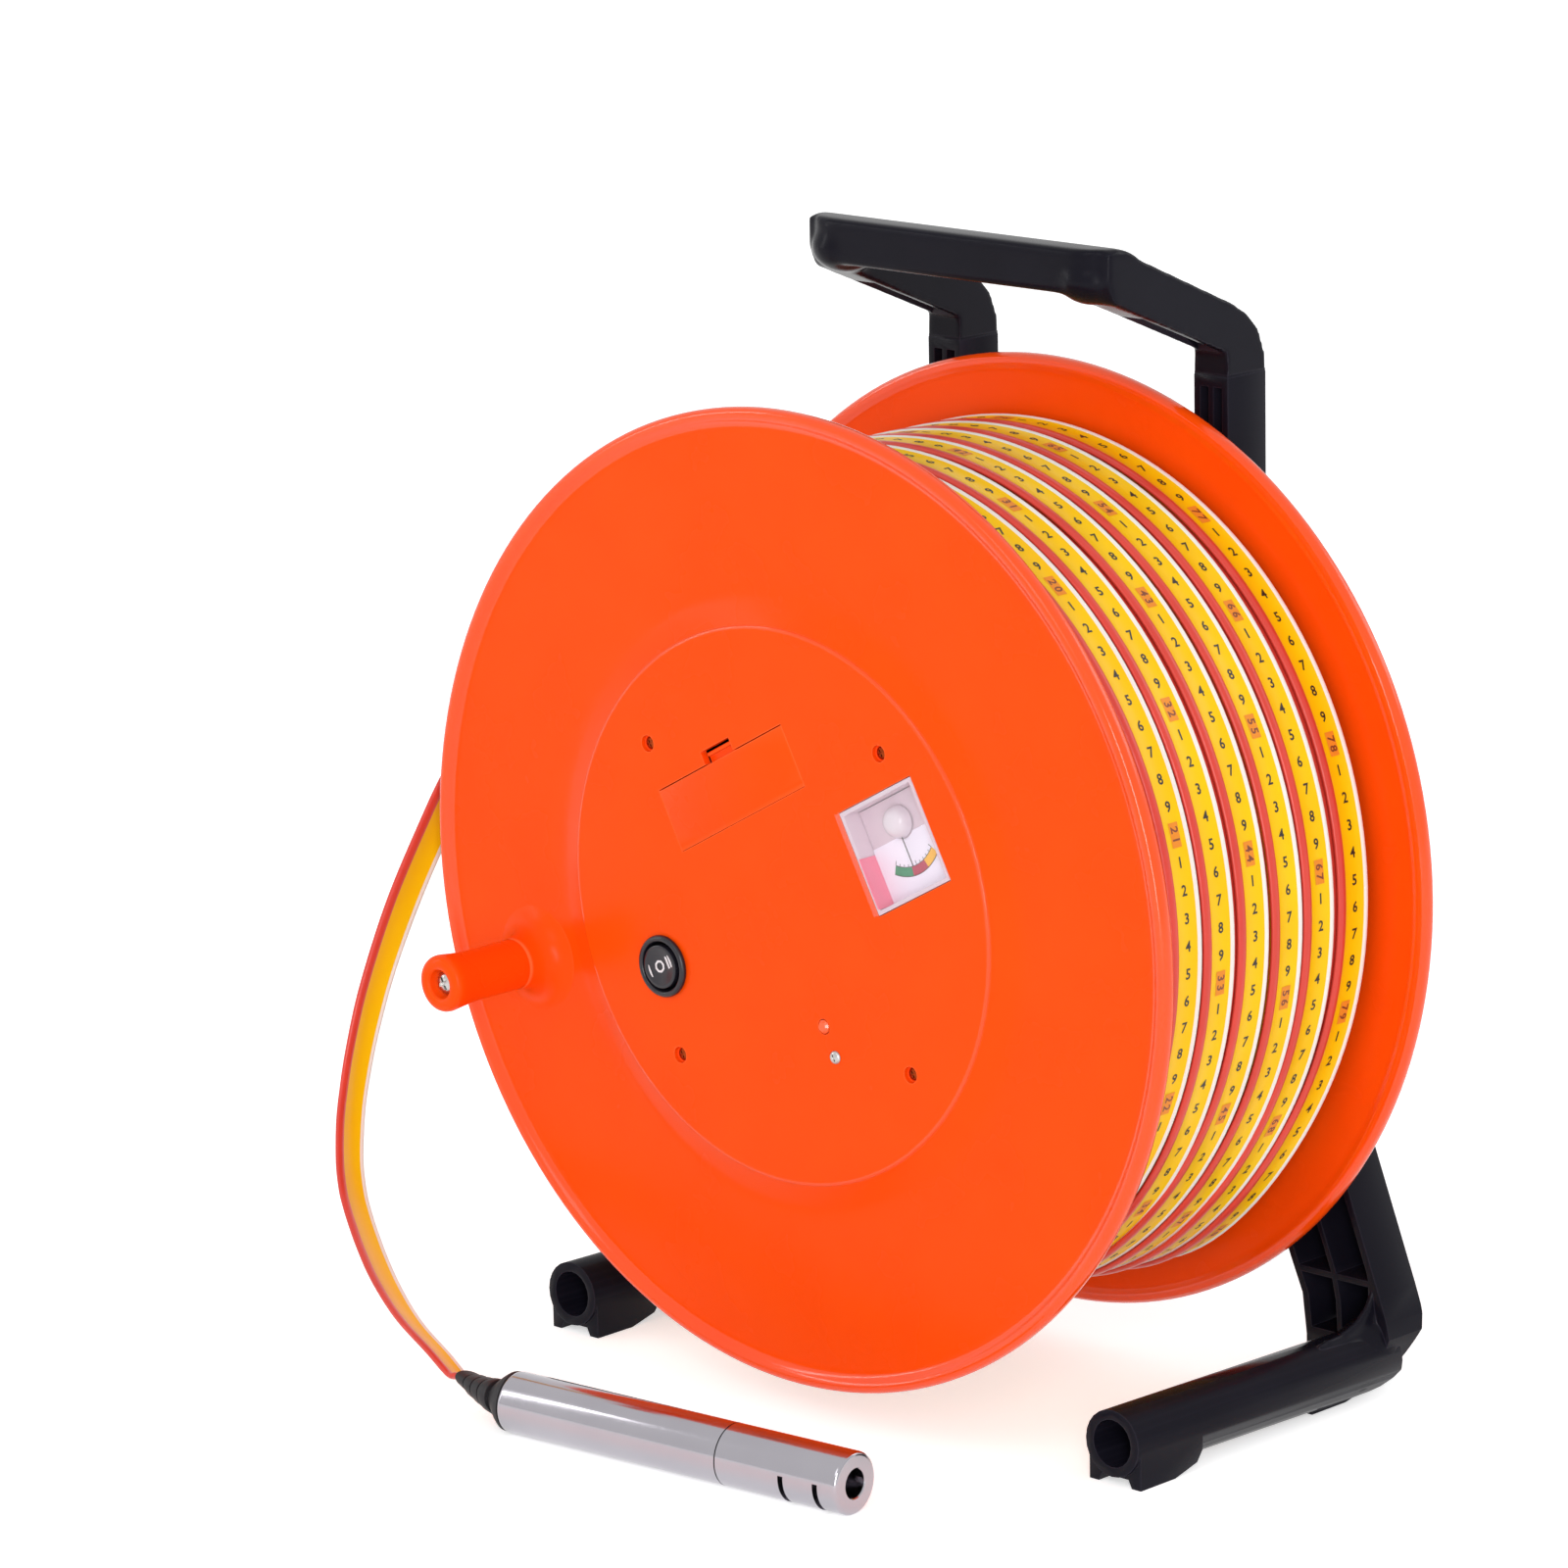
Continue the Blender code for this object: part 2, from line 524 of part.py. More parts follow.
washer("rear_washer", AXLE_RADIUS + GAP, HUB_TUBE_RADIUS - MM, REAR_WASHER_Y, WASHER_THICK, ZINC)
washer("front_washer", AXLE_RADIUS + GAP, HUB_TUBE_RADIUS - 2 * MM, RING_Y + WASHER_THICK + GAP,
       WASHER_THICK, ZINC)
ring = washer("retaining_ring", GROOVE_RADIUS + GAP, AXLE_RADIUS + 3 * MM, RING_Y, WASHER_THICK, ZINC)
ring_mouth = box("ring_mouth", (2 * GROOVE_RADIUS, 4 * MM, 12 * MM))
ring_mouth.location = place(0, RING_Y + WASHER_THICK / 2, -GROOVE_RADIUS - 4 * MM)
boolean(ring, ring_mouth)


# Flanges: thin moulded discs with a raised middle and a rolled rim
def flange_side(sign, plane_y):
    """Rim and field points of a flange; sign +1 rises to the front, -1 to the back."""
    def at(radius, y):
        return (radius, plane_y + sign * y)
    rim = FLANGE_RADIUS
    outside = [at(rim - 0.7 * MM, 0.25 * RIM_DEPTH * 0.4), at(rim - 2.5 * MM, 0),
               at(rim - 4.5 * MM, 0.8 * MM), at(rim - RIM_WIDTH, FIELD_Y),
               at(PANEL_RADIUS + BAND_WIDTH, FIELD_Y - MM),
               at(PANEL_RADIUS, FIELD_Y - PANEL_RISE + MM), at(PANEL_RADIUS - 2 * MM, FIELD_Y - PANEL_RISE)]
    edge = [at(rim - 0.7 * MM, RIM_DEPTH - 1.6 * MM), at(rim, RIM_DEPTH * 0.4)]
    inside = [at(PANEL_RADIUS - 3 * MM, FIELD_Y - PANEL_RISE + FLANGE_WALL),
              at(PANEL_RADIUS + BAND_WIDTH - 2 * MM, FIELD_Y + FLANGE_WALL),
              at(rim - RIM_WIDTH, FIELD_Y + FLANGE_WALL), at(rim - 2.5 * MM, RIM_DEPTH)]
    return outside, edge, inside


outside, edge, inside = flange_side(1, 0.0)
front = turned("front_flange", [(0, PANEL_BACK), *inside, *edge, *outside, (0, PANEL_Y)], closed=False)
front.location = place(0, 0, 0)

outside, edge, inside = flange_side(-1, REEL_DEPTH)
hole = HUB_TUBE_RADIUS + GAP
rear = turned("rear_flange", [(hole, REAR_FACE), *outside[::-1], *edge[::-1], *inside[::-1],
                              (hole, REAR_INNER)])
rear.location = place(0, 0, 0)

screw_angles = [SCREW_START + i * math.pi / 2 for i in range(4)]
screw_places = [on_panel(SCREW_CIRCLE * math.cos(a), SCREW_CIRCLE * math.sin(a), 0) for a in screw_angles]
HOLE_RADIUS = SCREW_RADIUS + GAP
SEAT_RADIUS = SCREW_HEAD_RADIUS + 0.6 * MM
front_seats = several("front_screw_seats", SEAT_RADIUS, PANEL_Y - MM, PANEL_Y + SCREW_HEAD_DEPTH, screw_places)
front_holes = several("front_screw_holes", HOLE_RADIUS, PANEL_Y, PANEL_BACK + MM, screw_places)
boolean(rear, several("rear_screw_seats", SEAT_RADIUS, REAR_FACE - SCREW_HEAD_DEPTH, REAR_FACE + MM,
                      screw_places))
boolean(rear, several("rear_screw_holes", HOLE_RADIUS, REAR_INNER - MM, REAR_FACE, screw_places))

# Boss for the crank knob, blended into the disc, with a nut pocket behind
knob_x = KNOB_CIRCLE * math.cos(KNOB_ANGLE)
knob_z = KNOB_CIRCLE * math.sin(KNOB_ANGLE)
KNOB_BASE_Y = FIELD_Y - 4.5 * MM
knob_boss = turned("knob_boss", [(0, FIELD_Y + FLANGE_WALL - 0.5 * MM),
                                 (KNOB_BOSS_RADIUS + 4 * MM, FIELD_Y + FLANGE_WALL - 0.5 * MM),
                                 (KNOB_BOSS_RADIUS + 4 * MM, FIELD_Y - 0.2 * MM),
                                 (KNOB_BOSS_RADIUS + MM, FIELD_Y - 1.2 * MM),
                                 (KNOB_RADIUS + 0.8 * MM, KNOB_BASE_Y), (0, KNOB_BASE_Y)], 24, closed=False)
knob_boss.location = place(knob_x, 0, knob_z)
NUT_RADIUS = 4.6 * MM
NUT_DEPTH = 3.4 * MM
NUT_Y = FIELD_Y + FLANGE_WALL - NUT_DEPTH - GAP
nut_pocket = rod("nut_pocket", NUT_RADIUS + 1.15 * GAP, NUT_DEPTH + GAP + 2 * MM, 6)
nut_pocket.location = place(knob_x, NUT_Y - GAP, knob_z)
knob_hole = rod("knob_hole", KNOB_SCREW_RADIUS + GAP, 12 * MM)
knob_hole.location = place(knob_x, KNOB_BASE_Y - MM, knob_z)
knob_hole.rotation_euler = (0.0, math.radians(4), 0.0)

# Openings of the panel: battery door with its latch notch, meter, switch, lamp and board screw
DOOR_TOP = DOOR_V + DOOR_HEIGHT
DOOR_SWING = math.hypot(DOOR_PIN_DEPTH, DOOR_PIN_RISE)
cut_low = DOOR_V + DOOR_PIN_RISE - DOOR_SWING - GAP
cut_high = DOOR_TOP + DOOR_GAP
door_cut = box("door_cut", (DOOR_LENGTH + 2 * DOOR_GAP, 10 * MM, cut_high - cut_low), PANEL_TURN)
door_cut.location = on_panel(0, (cut_low + cut_high) / 2, PANEL_Y)
latch_cut = box("latch_cut", (LATCH_WIDTH + 4 * DOOR_GAP, 10 * MM, LATCH_HEIGHT + 4 * DOOR_GAP), PANEL_TURN)
latch_cut.location = on_panel(0, DOOR_TOP + LATCH_HEIGHT / 2, PANEL_Y)
PIN_Y = PANEL_Y + DOOR_PIN_DEPTH
pin_slot = box("pin_slot", (DOOR_LENGTH + 2 * DOOR_PIN_LENGTH + 2 * GAP, FLANGE_WALL,
                            2 * DOOR_PIN_RADIUS + 2 * GAP), PANEL_TURN)
pin_slot.location = on_panel(0, DOOR_V + DOOR_PIN_RISE,
                             PIN_Y - DOOR_PIN_RADIUS - GAP + FLANGE_WALL / 2)
meter_cut = box("meter_cut", (METER_SIDE + 2 * GAP, 10 * MM, METER_SIDE + 2 * GAP), PANEL_TURN)
meter_cut.location = on_panel(METER_U, 0, PANEL_Y)
switch_cut = rod("switch_cut", SWITCH_BODY_RADIUS + GAP, 10 * MM, 24)
switch_cut.location = on_panel(SWITCH_U, 0, PANEL_Y - 5 * MM)
lamp_cut = rod("lamp_cut", LAMP_RADIUS + GAP, 10 * MM, 12)
lamp_cut.location = on_panel(0, LAMP_V, PANEL_Y - 5 * MM)
STANDOFF_RADIUS = 4.0 * MM
standoff = rod("standoff", STANDOFF_RADIUS, BOARD_Y - GAP - PANEL_BACK + MM, 12)
standoff.location = on_panel(0, BOARD_SCREW_V, PANEL_BACK - MM)
BOARD_SCREW_RADIUS = 1.5 * MM
board_screw_hole = rod("board_screw_hole", BOARD_SCREW_RADIUS + GAP, BOARD_Y + 10 * MM, 12)
board_screw_hole.location = on_panel(0, BOARD_SCREW_V, PANEL_Y - MM)
boolean(front, together("front_additions", [knob_boss, standoff]), "UNION")
boolean(front, together("front_openings", [front_seats, door_cut, meter_cut, switch_cut, lamp_cut,
                                           nut_pocket]))
boolean(front, together("front_holes", [front_holes, latch_cut, pin_slot, board_screw_hole, knob_hole]))
keep(front, ORANGE)
keep(rear, ORANGE)

# Drum core: a tube with a middle web, a hub tube and screw posts to both flanges
core = turned("drum_core", [(CORE_RADIUS, CORE_BACK), (CORE_RADIUS, CORE_FRONT),
                            (CORE_RADIUS - CORE_WALL, CORE_FRONT), (CORE_RADIUS - CORE_WALL, WEB_Y),
                            (HUB_TUBE_RADIUS, WEB_Y), (HUB_TUBE_RADIUS, HUB_TUBE_FRONT),
                            (AXLE_RADIUS + 3.3 * MM, HUB_TUBE_FRONT),
                            (AXLE_RADIUS + 3.3 * MM, HUB_TUBE_BACK), (HUB_TUBE_RADIUS, HUB_TUBE_BACK),
                            (HUB_TUBE_RADIUS, WEB_Y + WEB_THICK),
                            (CORE_RADIUS - CORE_WALL, WEB_Y + WEB_THICK),
                            (CORE_RADIUS - CORE_WALL, CORE_BACK)])
core.location = place(0, 0, 0)
boolean(core, several("posts", POST_RADIUS, PANEL_BACK + GAP, REAR_INNER - GAP, screw_places), "UNION")
PILOT_DEPTH = SCREW_LENGTH + 2 * MM
boolean(core, several("front_pilots", HOLE_RADIUS, PANEL_BACK - MM, PANEL_BACK + PILOT_DEPTH, screw_places))
boolean(core, several("rear_pilots", HOLE_RADIUS, REAR_INNER - PILOT_DEPTH, REAR_INNER + MM, screw_places))
keep(core, BLACK)

# Bushes in both ends of the hub tube
BUSH_LENGTH = 20.0 * MM
BUSH_INNER = AXLE_RADIUS + GAP
BUSH_OUTER = AXLE_RADIUS + 3.0 * MM
front_bush = turned("front_bush", [(BUSH_OUTER, HUB_TUBE_FRONT + BUSH_LENGTH),
                                   (BUSH_OUTER, HUB_TUBE_FRONT - GAP),
                                   (HUB_TUBE_RADIUS - MM, HUB_TUBE_FRONT - GAP),
                                   (HUB_TUBE_RADIUS - MM, HUB_TUBE_FRONT - GAP - BUSH_FLANGE),
                                   (BUSH_INNER, HUB_TUBE_FRONT - GAP - BUSH_FLANGE),
                                   (BUSH_INNER, HUB_TUBE_FRONT + BUSH_LENGTH)], 24)
rear_bush = turned("rear_bush", [(HUB_TUBE_RADIUS - MM, HUB_TUBE_BACK + GAP + BUSH_FLANGE),
                                 (HUB_TUBE_RADIUS - MM, HUB_TUBE_BACK + GAP),
                                 (BUSH_OUTER, HUB_TUBE_BACK + GAP),
                                 (BUSH_OUTER, HUB_TUBE_BACK - BUSH_LENGTH),
                                 (BUSH_INNER, HUB_TUBE_BACK - BUSH_LENGTH),
                                 (BUSH_INNER, HUB_TUBE_BACK + GAP + BUSH_FLANGE)], 24)
for bush in (front_bush, rear_bush):
    bush.location = place(0, 0, 0)
    keep(bush, BRONZE)

# Wound tape: one solid, its outer turns as ridges side by side
ridges = []
for turn in reversed(range(TURN_COUNT)):
    middle = FIRST_TURN_Y + turn * TURN_PITCH
    ridges += [(PACK_RADIUS - TAPE_THICK, middle + TAPE_WIDTH / 2), (PACK_RADIUS, middle + TAPE_WIDTH / 2),
               (PACK_RADIUS, middle - TAPE_WIDTH / 2), (PACK_RADIUS - TAPE_THICK, middle - TAPE_WIDTH / 2)]
ridges[0] = (CORE_RADIUS + GAP, ridges[0][1])
ridges[-1] = (CORE_RADIUS + GAP, ridges[-1][1])
wound = turned("wound_tape", ridges)
wound.location = place(0, 0, 0)
keep(wound, YELLOW)


# Screws
def screw(name, at, head_radius, head_depth, radius, length, forward, look=ZINC, steps=10):
    """Round-head screw; forward -1 has its head at the front, +1 at the back."""
    made = turned(name, [(0, length), (radius * 0.6, length), (radius, length - radius), (radius, 0),
                         (head_radius, 0), (head_radius, -0.5 * head_depth),
                         (head_radius * 0.7, -head_depth), (0, -head_depth)], steps, closed=False)
    made.location = at
    if forward > 0:
        made.rotation_euler = (math.pi / 2, 0.0, 0.0)
    return keep(made, look)


for number, at in enumerate(screw_places, 1):
    screw("panel_screw_%d" % number, at + Vector((0, PANEL_Y + SCREW_HEAD_DEPTH - GAP, 0)),
          SCREW_HEAD_RADIUS, SCREW_HEAD_DEPTH, SCREW_RADIUS, SCREW_LENGTH, -1)
    screw("rear_screw_%d" % number, at + Vector((0, REAR_FACE - SCREW_HEAD_DEPTH + GAP, 0)),
          SCREW_HEAD_RADIUS, SCREW_HEAD_DEPTH, SCREW_RADIUS, SCREW_LENGTH, 1)
screw("board_screw", on_panel(0, BOARD_SCREW_V, PANEL_Y - GAP), 3.0 * MM, 1.6 * MM, BOARD_SCREW_RADIUS,
      BOARD_Y + BOARD_THICK - PANEL_Y + 2 * MM, -1)

# Crank knob sleeve, its long screw and its nut
SLEEVE_BACK = KNOB_BASE_Y - GAP
SLEEVE_FRONT = SLEEVE_BACK - KNOB_LENGTH
RECESS_RADIUS = 5.2 * MM
RECESS_FLOOR = SLEEVE_FRONT + KNOB_RECESS
SLEEVE_BORE = KNOB_SCREW_RADIUS + GAP
knob = turned("crank_knob", [(KNOB_RADIUS + 0.8 * MM, SLEEVE_BACK), (KNOB_RADIUS, SLEEVE_BACK - 4 * MM),
                             (KNOB_RADIUS, SLEEVE_FRONT + KNOB_FLARE),
                             (KNOB_TIP_RADIUS - 0.4 * MM, SLEEVE_FRONT + 6 * MM),
                             (KNOB_TIP_RADIUS, SLEEVE_FRONT + 3.5 * MM),
                             (KNOB_TIP_RADIUS - MM, SLEEVE_FRONT + 0.8 * MM),
                             (KNOB_TIP_RADIUS - 2.6 * MM, SLEEVE_FRONT), (RECESS_RADIUS, SLEEVE_FRONT + 0.3 * MM),
                             (RECESS_RADIUS, RECESS_FLOOR), (SLEEVE_BORE, RECESS_FLOOR),
                             (SLEEVE_BORE, SLEEVE_BACK)], 24)
knob.location = place(knob_x, 0, knob_z)
keep(knob, ORANGE)
screw("crank_screw", place(knob_x, RECESS_FLOOR - GAP, knob_z), 4.4 * MM, 2.6 * MM, KNOB_SCREW_RADIUS,
      NUT_Y + NUT_DEPTH - RECESS_FLOOR + GAP, -1, steps=16)
crank_nut = rod("crank_nut", NUT_RADIUS, NUT_DEPTH, 6)
crank_nut.location = place(knob_x, NUT_Y, knob_z)
nut_bore = rod("nut_bore", KNOB_SCREW_RADIUS + GAP, NUT_DEPTH + 2 * MM, 12)
nut_bore.location = place(knob_x, NUT_Y - MM, knob_z)
boolean(crank_nut, nut_bore)
keep(crank_nut, ZINC)

# Battery door: hinged on two pins at its lower edge, with a latch tongue at the top
door = box("battery_door", (DOOR_LENGTH, DOOR_THICK, DOOR_HEIGHT), PANEL_TURN)
door.location = on_panel(0, DOOR_V + DOOR_HEIGHT / 2, PANEL_Y + DOOR_THICK / 2)
tongue = box("latch_tongue", (LATCH_WIDTH, DOOR_THICK - 0.6 * MM, LATCH_HEIGHT + 2 * MM), PANEL_TURN)
tongue.location = on_panel(0, DOOR_TOP + LATCH_HEIGHT / 2 - MM, PANEL_Y + DOOR_THICK / 2 + 0.3 * MM)
boolean(door, tongue, "UNION")
thumb = box("thumb_ridge", (LATCH_WIDTH - 2 * MM, 1.8 * MM, 1.2 * MM), PANEL_TURN)
thumb.location = on_panel(0, DOOR_TOP + LATCH_HEIGHT - 1.2 * MM, PANEL_Y - 0.2 * MM)
boolean(door, thumb, "UNION")
bm = bmesh.new()
bmesh.ops.create_cone(bm, cap_ends=True, segments=8, radius1=DOOR_PIN_RADIUS, radius2=DOOR_PIN_RADIUS,
                      depth=DOOR_LENGTH + 2 * DOOR_PIN_LENGTH,
                      matrix=Matrix.Rotation(-PANEL_TURN, 4, "Y") @ Matrix.Rotation(math.pi / 2, 4, "Y"))
door_pins = mesh_object("door_pins", bm)
door_pins.location = on_panel(0, DOOR_V + DOOR_PIN_RISE, PIN_Y)
boolean(door, door_pins, "UNION")
keep(door, ORANGE)

# Battery tray behind the door, the battery and its snap connector
tray_inner = (DOOR_LENGTH + 2 * DOOR_GAP, cut_high - cut_low)
tray_v = (cut_low + cut_high) / 2
TRAY_Y = PANEL_BACK + GAP
tray = box("battery_tray", (tray_inner[0] + 2 * TRAY_WALL, TRAY_DEPTH + TRAY_WALL,
                            tray_inner[1] + 2 * TRAY_WALL), PANEL_TURN)
tray.location = on_panel(0, tray_v, TRAY_Y + (TRAY_DEPTH + TRAY_WALL) / 2)
tray_room = box("tray_room", (tray_inner[0], TRAY_DEPTH + MM, tray_inner[1]), PANEL_TURN)
tray_room.location = on_panel(0, tray_v, TRAY_Y + (TRAY_DEPTH - MM) / 2)
boolean(tray, tray_room)
CONNECTOR_THICK = 4.0 * MM
battery_u = -tray_inner[0] / 2 + GAP + BATTERY_LENGTH / 2
connector_u = battery_u + BATTERY_LENGTH / 2 + GAP + CONNECTOR_THICK / 2
stop_u = connector_u + CONNECTOR_THICK / 2 + GAP + TRAY_WALL / 2
tray_stop = box("tray_stop", (TRAY_WALL, TRAY_DEPTH * 0.8, tray_inner[1] + MM), PANEL_TURN)
tray_stop.location = on_panel(stop_u, tray_v, TRAY_Y + TRAY_DEPTH * 0.6 + MM)
boolean(tray, tray_stop, "UNION")
keep(tray, BLACK)
battery_y = TRAY_Y + TRAY_DEPTH - GAP - BATTERY_WIDTH / 2
battery_v = tray_v - tray_inner[1] / 2 + GAP + BATTERY_THICK / 2
battery = box("battery", (BATTERY_LENGTH, BATTERY_WIDTH, BATTERY_THICK), PANEL_TURN)
battery.location = on_panel(battery_u, battery_v, battery_y)
bevel(battery, 1.2 * MM, 1)
keep(battery, ((0.05, 0.05, 0.06), 0.35))
connector = box("battery_connector", (CONNECTOR_THICK, BATTERY_WIDTH * 0.9, BATTERY_THICK * 0.75), PANEL_TURN)
connector.location = on_panel(connector_u, battery_v, battery_y)
keep(connector, RUBBER)

# Panel meter: open housing, dial, movement, needle and a clear cover
housing = box("meter_housing", (METER_SIDE, METER_DEPTH - PANEL_Y, METER_SIDE), PANEL_TURN)
housing.location = on_panel(METER_U, 0, (METER_DEPTH + PANEL_Y) / 2)
room_side = METER_SIDE - 2 * METER_WALL
housing_room = box("housing_room", (room_side, METER_DEPTH - PANEL_Y, room_side), PANEL_TURN)
housing_room.location = on_panel(METER_U, 0, (METER_DEPTH + PANEL_Y) / 2 - METER_WALL)
boolean(housing, housing_room)
keep(housing, WHITE)
dial = box("meter_dial", (room_side - 2 * GAP, DIAL_THICK, room_side - 2 * GAP), PANEL_TURN)
dial.location = on_panel(METER_U, 0, DIAL_Y + DIAL_THICK / 2)
spindle_cut = rod("spindle_cut", 1.6 * MM, 4 * MM, 12)
spindle_cut.location = on_panel(METER_U, NEEDLE_PIVOT_V, DIAL_Y - 2 * MM)
boolean(dial, spindle_cut)
keep(dial, WHITE)
movement = rod("meter_movement", 9.0 * MM, METER_DEPTH - METER_WALL - DIAL_Y - DIAL_THICK - 2 * GAP, 20)
movement.location = on_panel(METER_U, NEEDLE_PIVOT_V, DIAL_Y + DIAL_THICK + GAP)
movement_bore = rod("movement_bore", 1.6 * MM, 5 * MM, 12)
movement_bore.location = on_panel(METER_U, NEEDLE_PIVOT_V, DIAL_Y + DIAL_THICK - MM)
boolean(movement, movement_bore)
keep(movement, ZINC)
NEEDLE_Y = DIAL_Y - 1.8 * MM
needle = box("meter_needle", (0.9 * MM, 0.5 * MM, NEEDLE_LENGTH), PANEL_TURN)
needle.location = on_panel(METER_U, NEEDLE_PIVOT_V - NEEDLE_LENGTH / 2, NEEDLE_Y)
needle_hub = rod("needle_hub", 1.3 * MM, DIAL_Y + DIAL_THICK + 2 * MM - NEEDLE_Y, 12)
needle_hub.location = on_panel(METER_U, NEEDLE_PIVOT_V, NEEDLE_Y - 0.5 * MM)
boolean(needle, needle_hub, "UNION")
keep(needle, RUBBER)
COVER_WALL = 1.2 * MM
cover = box("meter_cover", (METER_SIDE, METER_PROUD + COVER_WALL - GAP, METER_SIDE), PANEL_TURN)
cover.location = on_panel(METER_U, 0, PANEL_Y - GAP - (METER_PROUD + COVER_WALL - GAP) / 2)
cover_room = box("cover_room", (room_side, METER_PROUD + COVER_WALL, room_side), PANEL_TURN)
cover_room.location = on_panel(METER_U, 0, PANEL_Y - (METER_PROUD + COVER_WALL) / 2 + COVER_WALL)
boolean(cover, cover_room)
keep(cover, CLEAR)

# Rocker switch: turned body with a bezel, and the rocker on two stub pins
BEZEL_RISE = 2.0 * MM
WELL_DEPTH = 9.0 * MM
bezel_y = PANEL_Y - GAP
switch = turned("switch_body", [(0, SWITCH_DEPTH), (SWITCH_BODY_RADIUS, SWITCH_DEPTH),
                                (SWITCH_BODY_RADIUS, bezel_y), (SWITCH_BEZEL_RADIUS, bezel_y),
                                (SWITCH_BEZEL_RADIUS, bezel_y - 0.5 * BEZEL_RISE),
                                (SWITCH_BEZEL_RADIUS - MM, bezel_y - BEZEL_RISE),
                                (SWITCH_WELL_RADIUS, bezel_y - BEZEL_RISE),
                                (SWITCH_WELL_RADIUS, bezel_y + WELL_DEPTH), (0, bezel_y + WELL_DEPTH)],
                24, closed=False)
switch.location = on_panel(SWITCH_U, 0, 0)
ROCKER_FRONT = bezel_y - BEZEL_RISE - 0.3 * MM
PIVOT_Y = ROCKER_FRONT + 4.5 * MM
PIN_RADIUS = 1.2 * MM
PIN_END = (SWITCH_WELL_RADIUS + SWITCH_BODY_RADIUS) / 2
across_panel = Matrix.Rotation(-PANEL_TURN, 4, "Y")
for radius, length in ((PIN_RADIUS, PIN_END), (PIN_RADIUS + GAP, SWITCH_BEZEL_RADIUS)):
    bm = bmesh.new()
    bmesh.ops.create_cone(bm, cap_ends=True, segments=10, radius1=radius, radius2=radius,
                          depth=2 * length, matrix=across_panel)
    cross_pin = mesh_object("rocker_pins" if length == PIN_END else "pin_sockets", bm)
    cross_pin.location = on_panel(SWITCH_U, 0, PIVOT_Y)
    if length == PIN_END:
        rocker_pins = cross_pin
    else:
        boolean(switch, cross_pin)
keep(switch, BLACK)
rocker = turned("switch_rocker", [(0, ROCKER_FRONT + 6 * MM), (4 * MM, ROCKER_FRONT + 6 * MM),
                                  (ROCKER_RADIUS, ROCKER_FRONT + 3 * MM), (ROCKER_RADIUS, ROCKER_FRONT + 0.4 * MM),
                                  (ROCKER_RADIUS - 0.6 * MM, ROCKER_FRONT), (4 * MM, ROCKER_FRONT + 0.7 * MM),
                                  (0, ROCKER_FRONT + 0.9 * MM)], 24, closed=False)
rocker.location = on_panel(SWITCH_U, 0, 0)
boolean(rocker, rocker_pins, "UNION")
keep(rocker, BLACK)

# Circuit board on its standoff, with lamp, buzzer and chip
board_v = (BOARD_SCREW_V + LAMP_V) / 2
board = box("circuit_board", (BOARD_LENGTH, BOARD_THICK, BOARD_HEIGHT), PANEL_TURN)
board.location = on_panel(0, board_v, BOARD_Y + BOARD_THICK / 2)
board_hole = rod("board_hole", BOARD_SCREW_RADIUS + GAP, 4 * MM, 12)
board_hole.location = on_panel(0, BOARD_SCREW_V, BOARD_Y - MM)
boolean(board, board_hole)
keep(board, GREEN)
lamp = rod("indicator_lamp", LAMP_RADIUS, BOARD_Y - GAP - PANEL_Y + MM, 12)
lamp.location = on_panel(0, LAMP_V, PANEL_Y - MM)
bevel(lamp, 0.8 * MM, 1)
keep(lamp, WHITE)
BUZZER_HEIGHT = 9.0 * MM
buzzer = rod("buzzer", 6.0 * MM, BUZZER_HEIGHT, 20)
buzzer.location = on_panel(20 * MM, board_v, BOARD_Y - GAP - BUZZER_HEIGHT)
keep(buzzer, BLACK)
CHIP_THICK = 3.0 * MM
chip = box("board_chip", (18 * MM, CHIP_THICK, 7 * MM), PANEL_TURN)
chip.location = on_panel(-16 * MM, board_v, BOARD_Y + BOARD_THICK + GAP + CHIP_THICK / 2)
keep(chip, BLACK)

# Probe: turned pieces in line, their own y running from the back end to the nose
probe_turn = (0.0, math.pi / 2, PROBE_YAW)
probe_back = Vector((PROBE_BACK_X, PROBE_BACK_Y + REEL_Y, BARREL_RADIUS))
probe_way = Vector((math.cos(PROBE_YAW), math.sin(PROBE_YAW), 0.0))


def probe_piece(name, profile, steps, look, closed=True):
    """Turned piece on the probe's axis."""
    made = turned(name, profile, steps, closed)
    made.rotation_euler = probe_turn
    made.location = probe_back
    return keep(made, look)


BOOT_NECK = 6.0 * MM
bore = BARREL_RADIUS - BARREL_WALL
probe_piece("probe_upper_barrel", [(BARREL_RADIUS, UPPER_LENGTH), (BARREL_RADIUS, MM),
                                   (BARREL_RADIUS - MM, 0), (BOOT_NECK + GAP, 0),
                                   (BOOT_NECK + GAP, 3 * MM), (bore, 3 * MM), (bore, UPPER_LENGTH)],
            32, STEEL)
NOSE_START = UPPER_LENGTH + GAP
NOSE_END = NOSE_START + NOSE_LENGTH
BORE_START = NOSE_END - NOSE_BORE_DEPTH
SPIGOT_LENGTH = 12.0 * MM
SPIGOT_START = NOSE_START - SPIGOT_LENGTH
spigot = bore - GAP
GROOVE_START = SPIGOT_START + 5 * MM
GROOVE_WIDTH = 1.8 * MM
GROOVE_FLOOR = spigot - 1.2 * MM
PLUG_RADIUS = 3.3 * MM
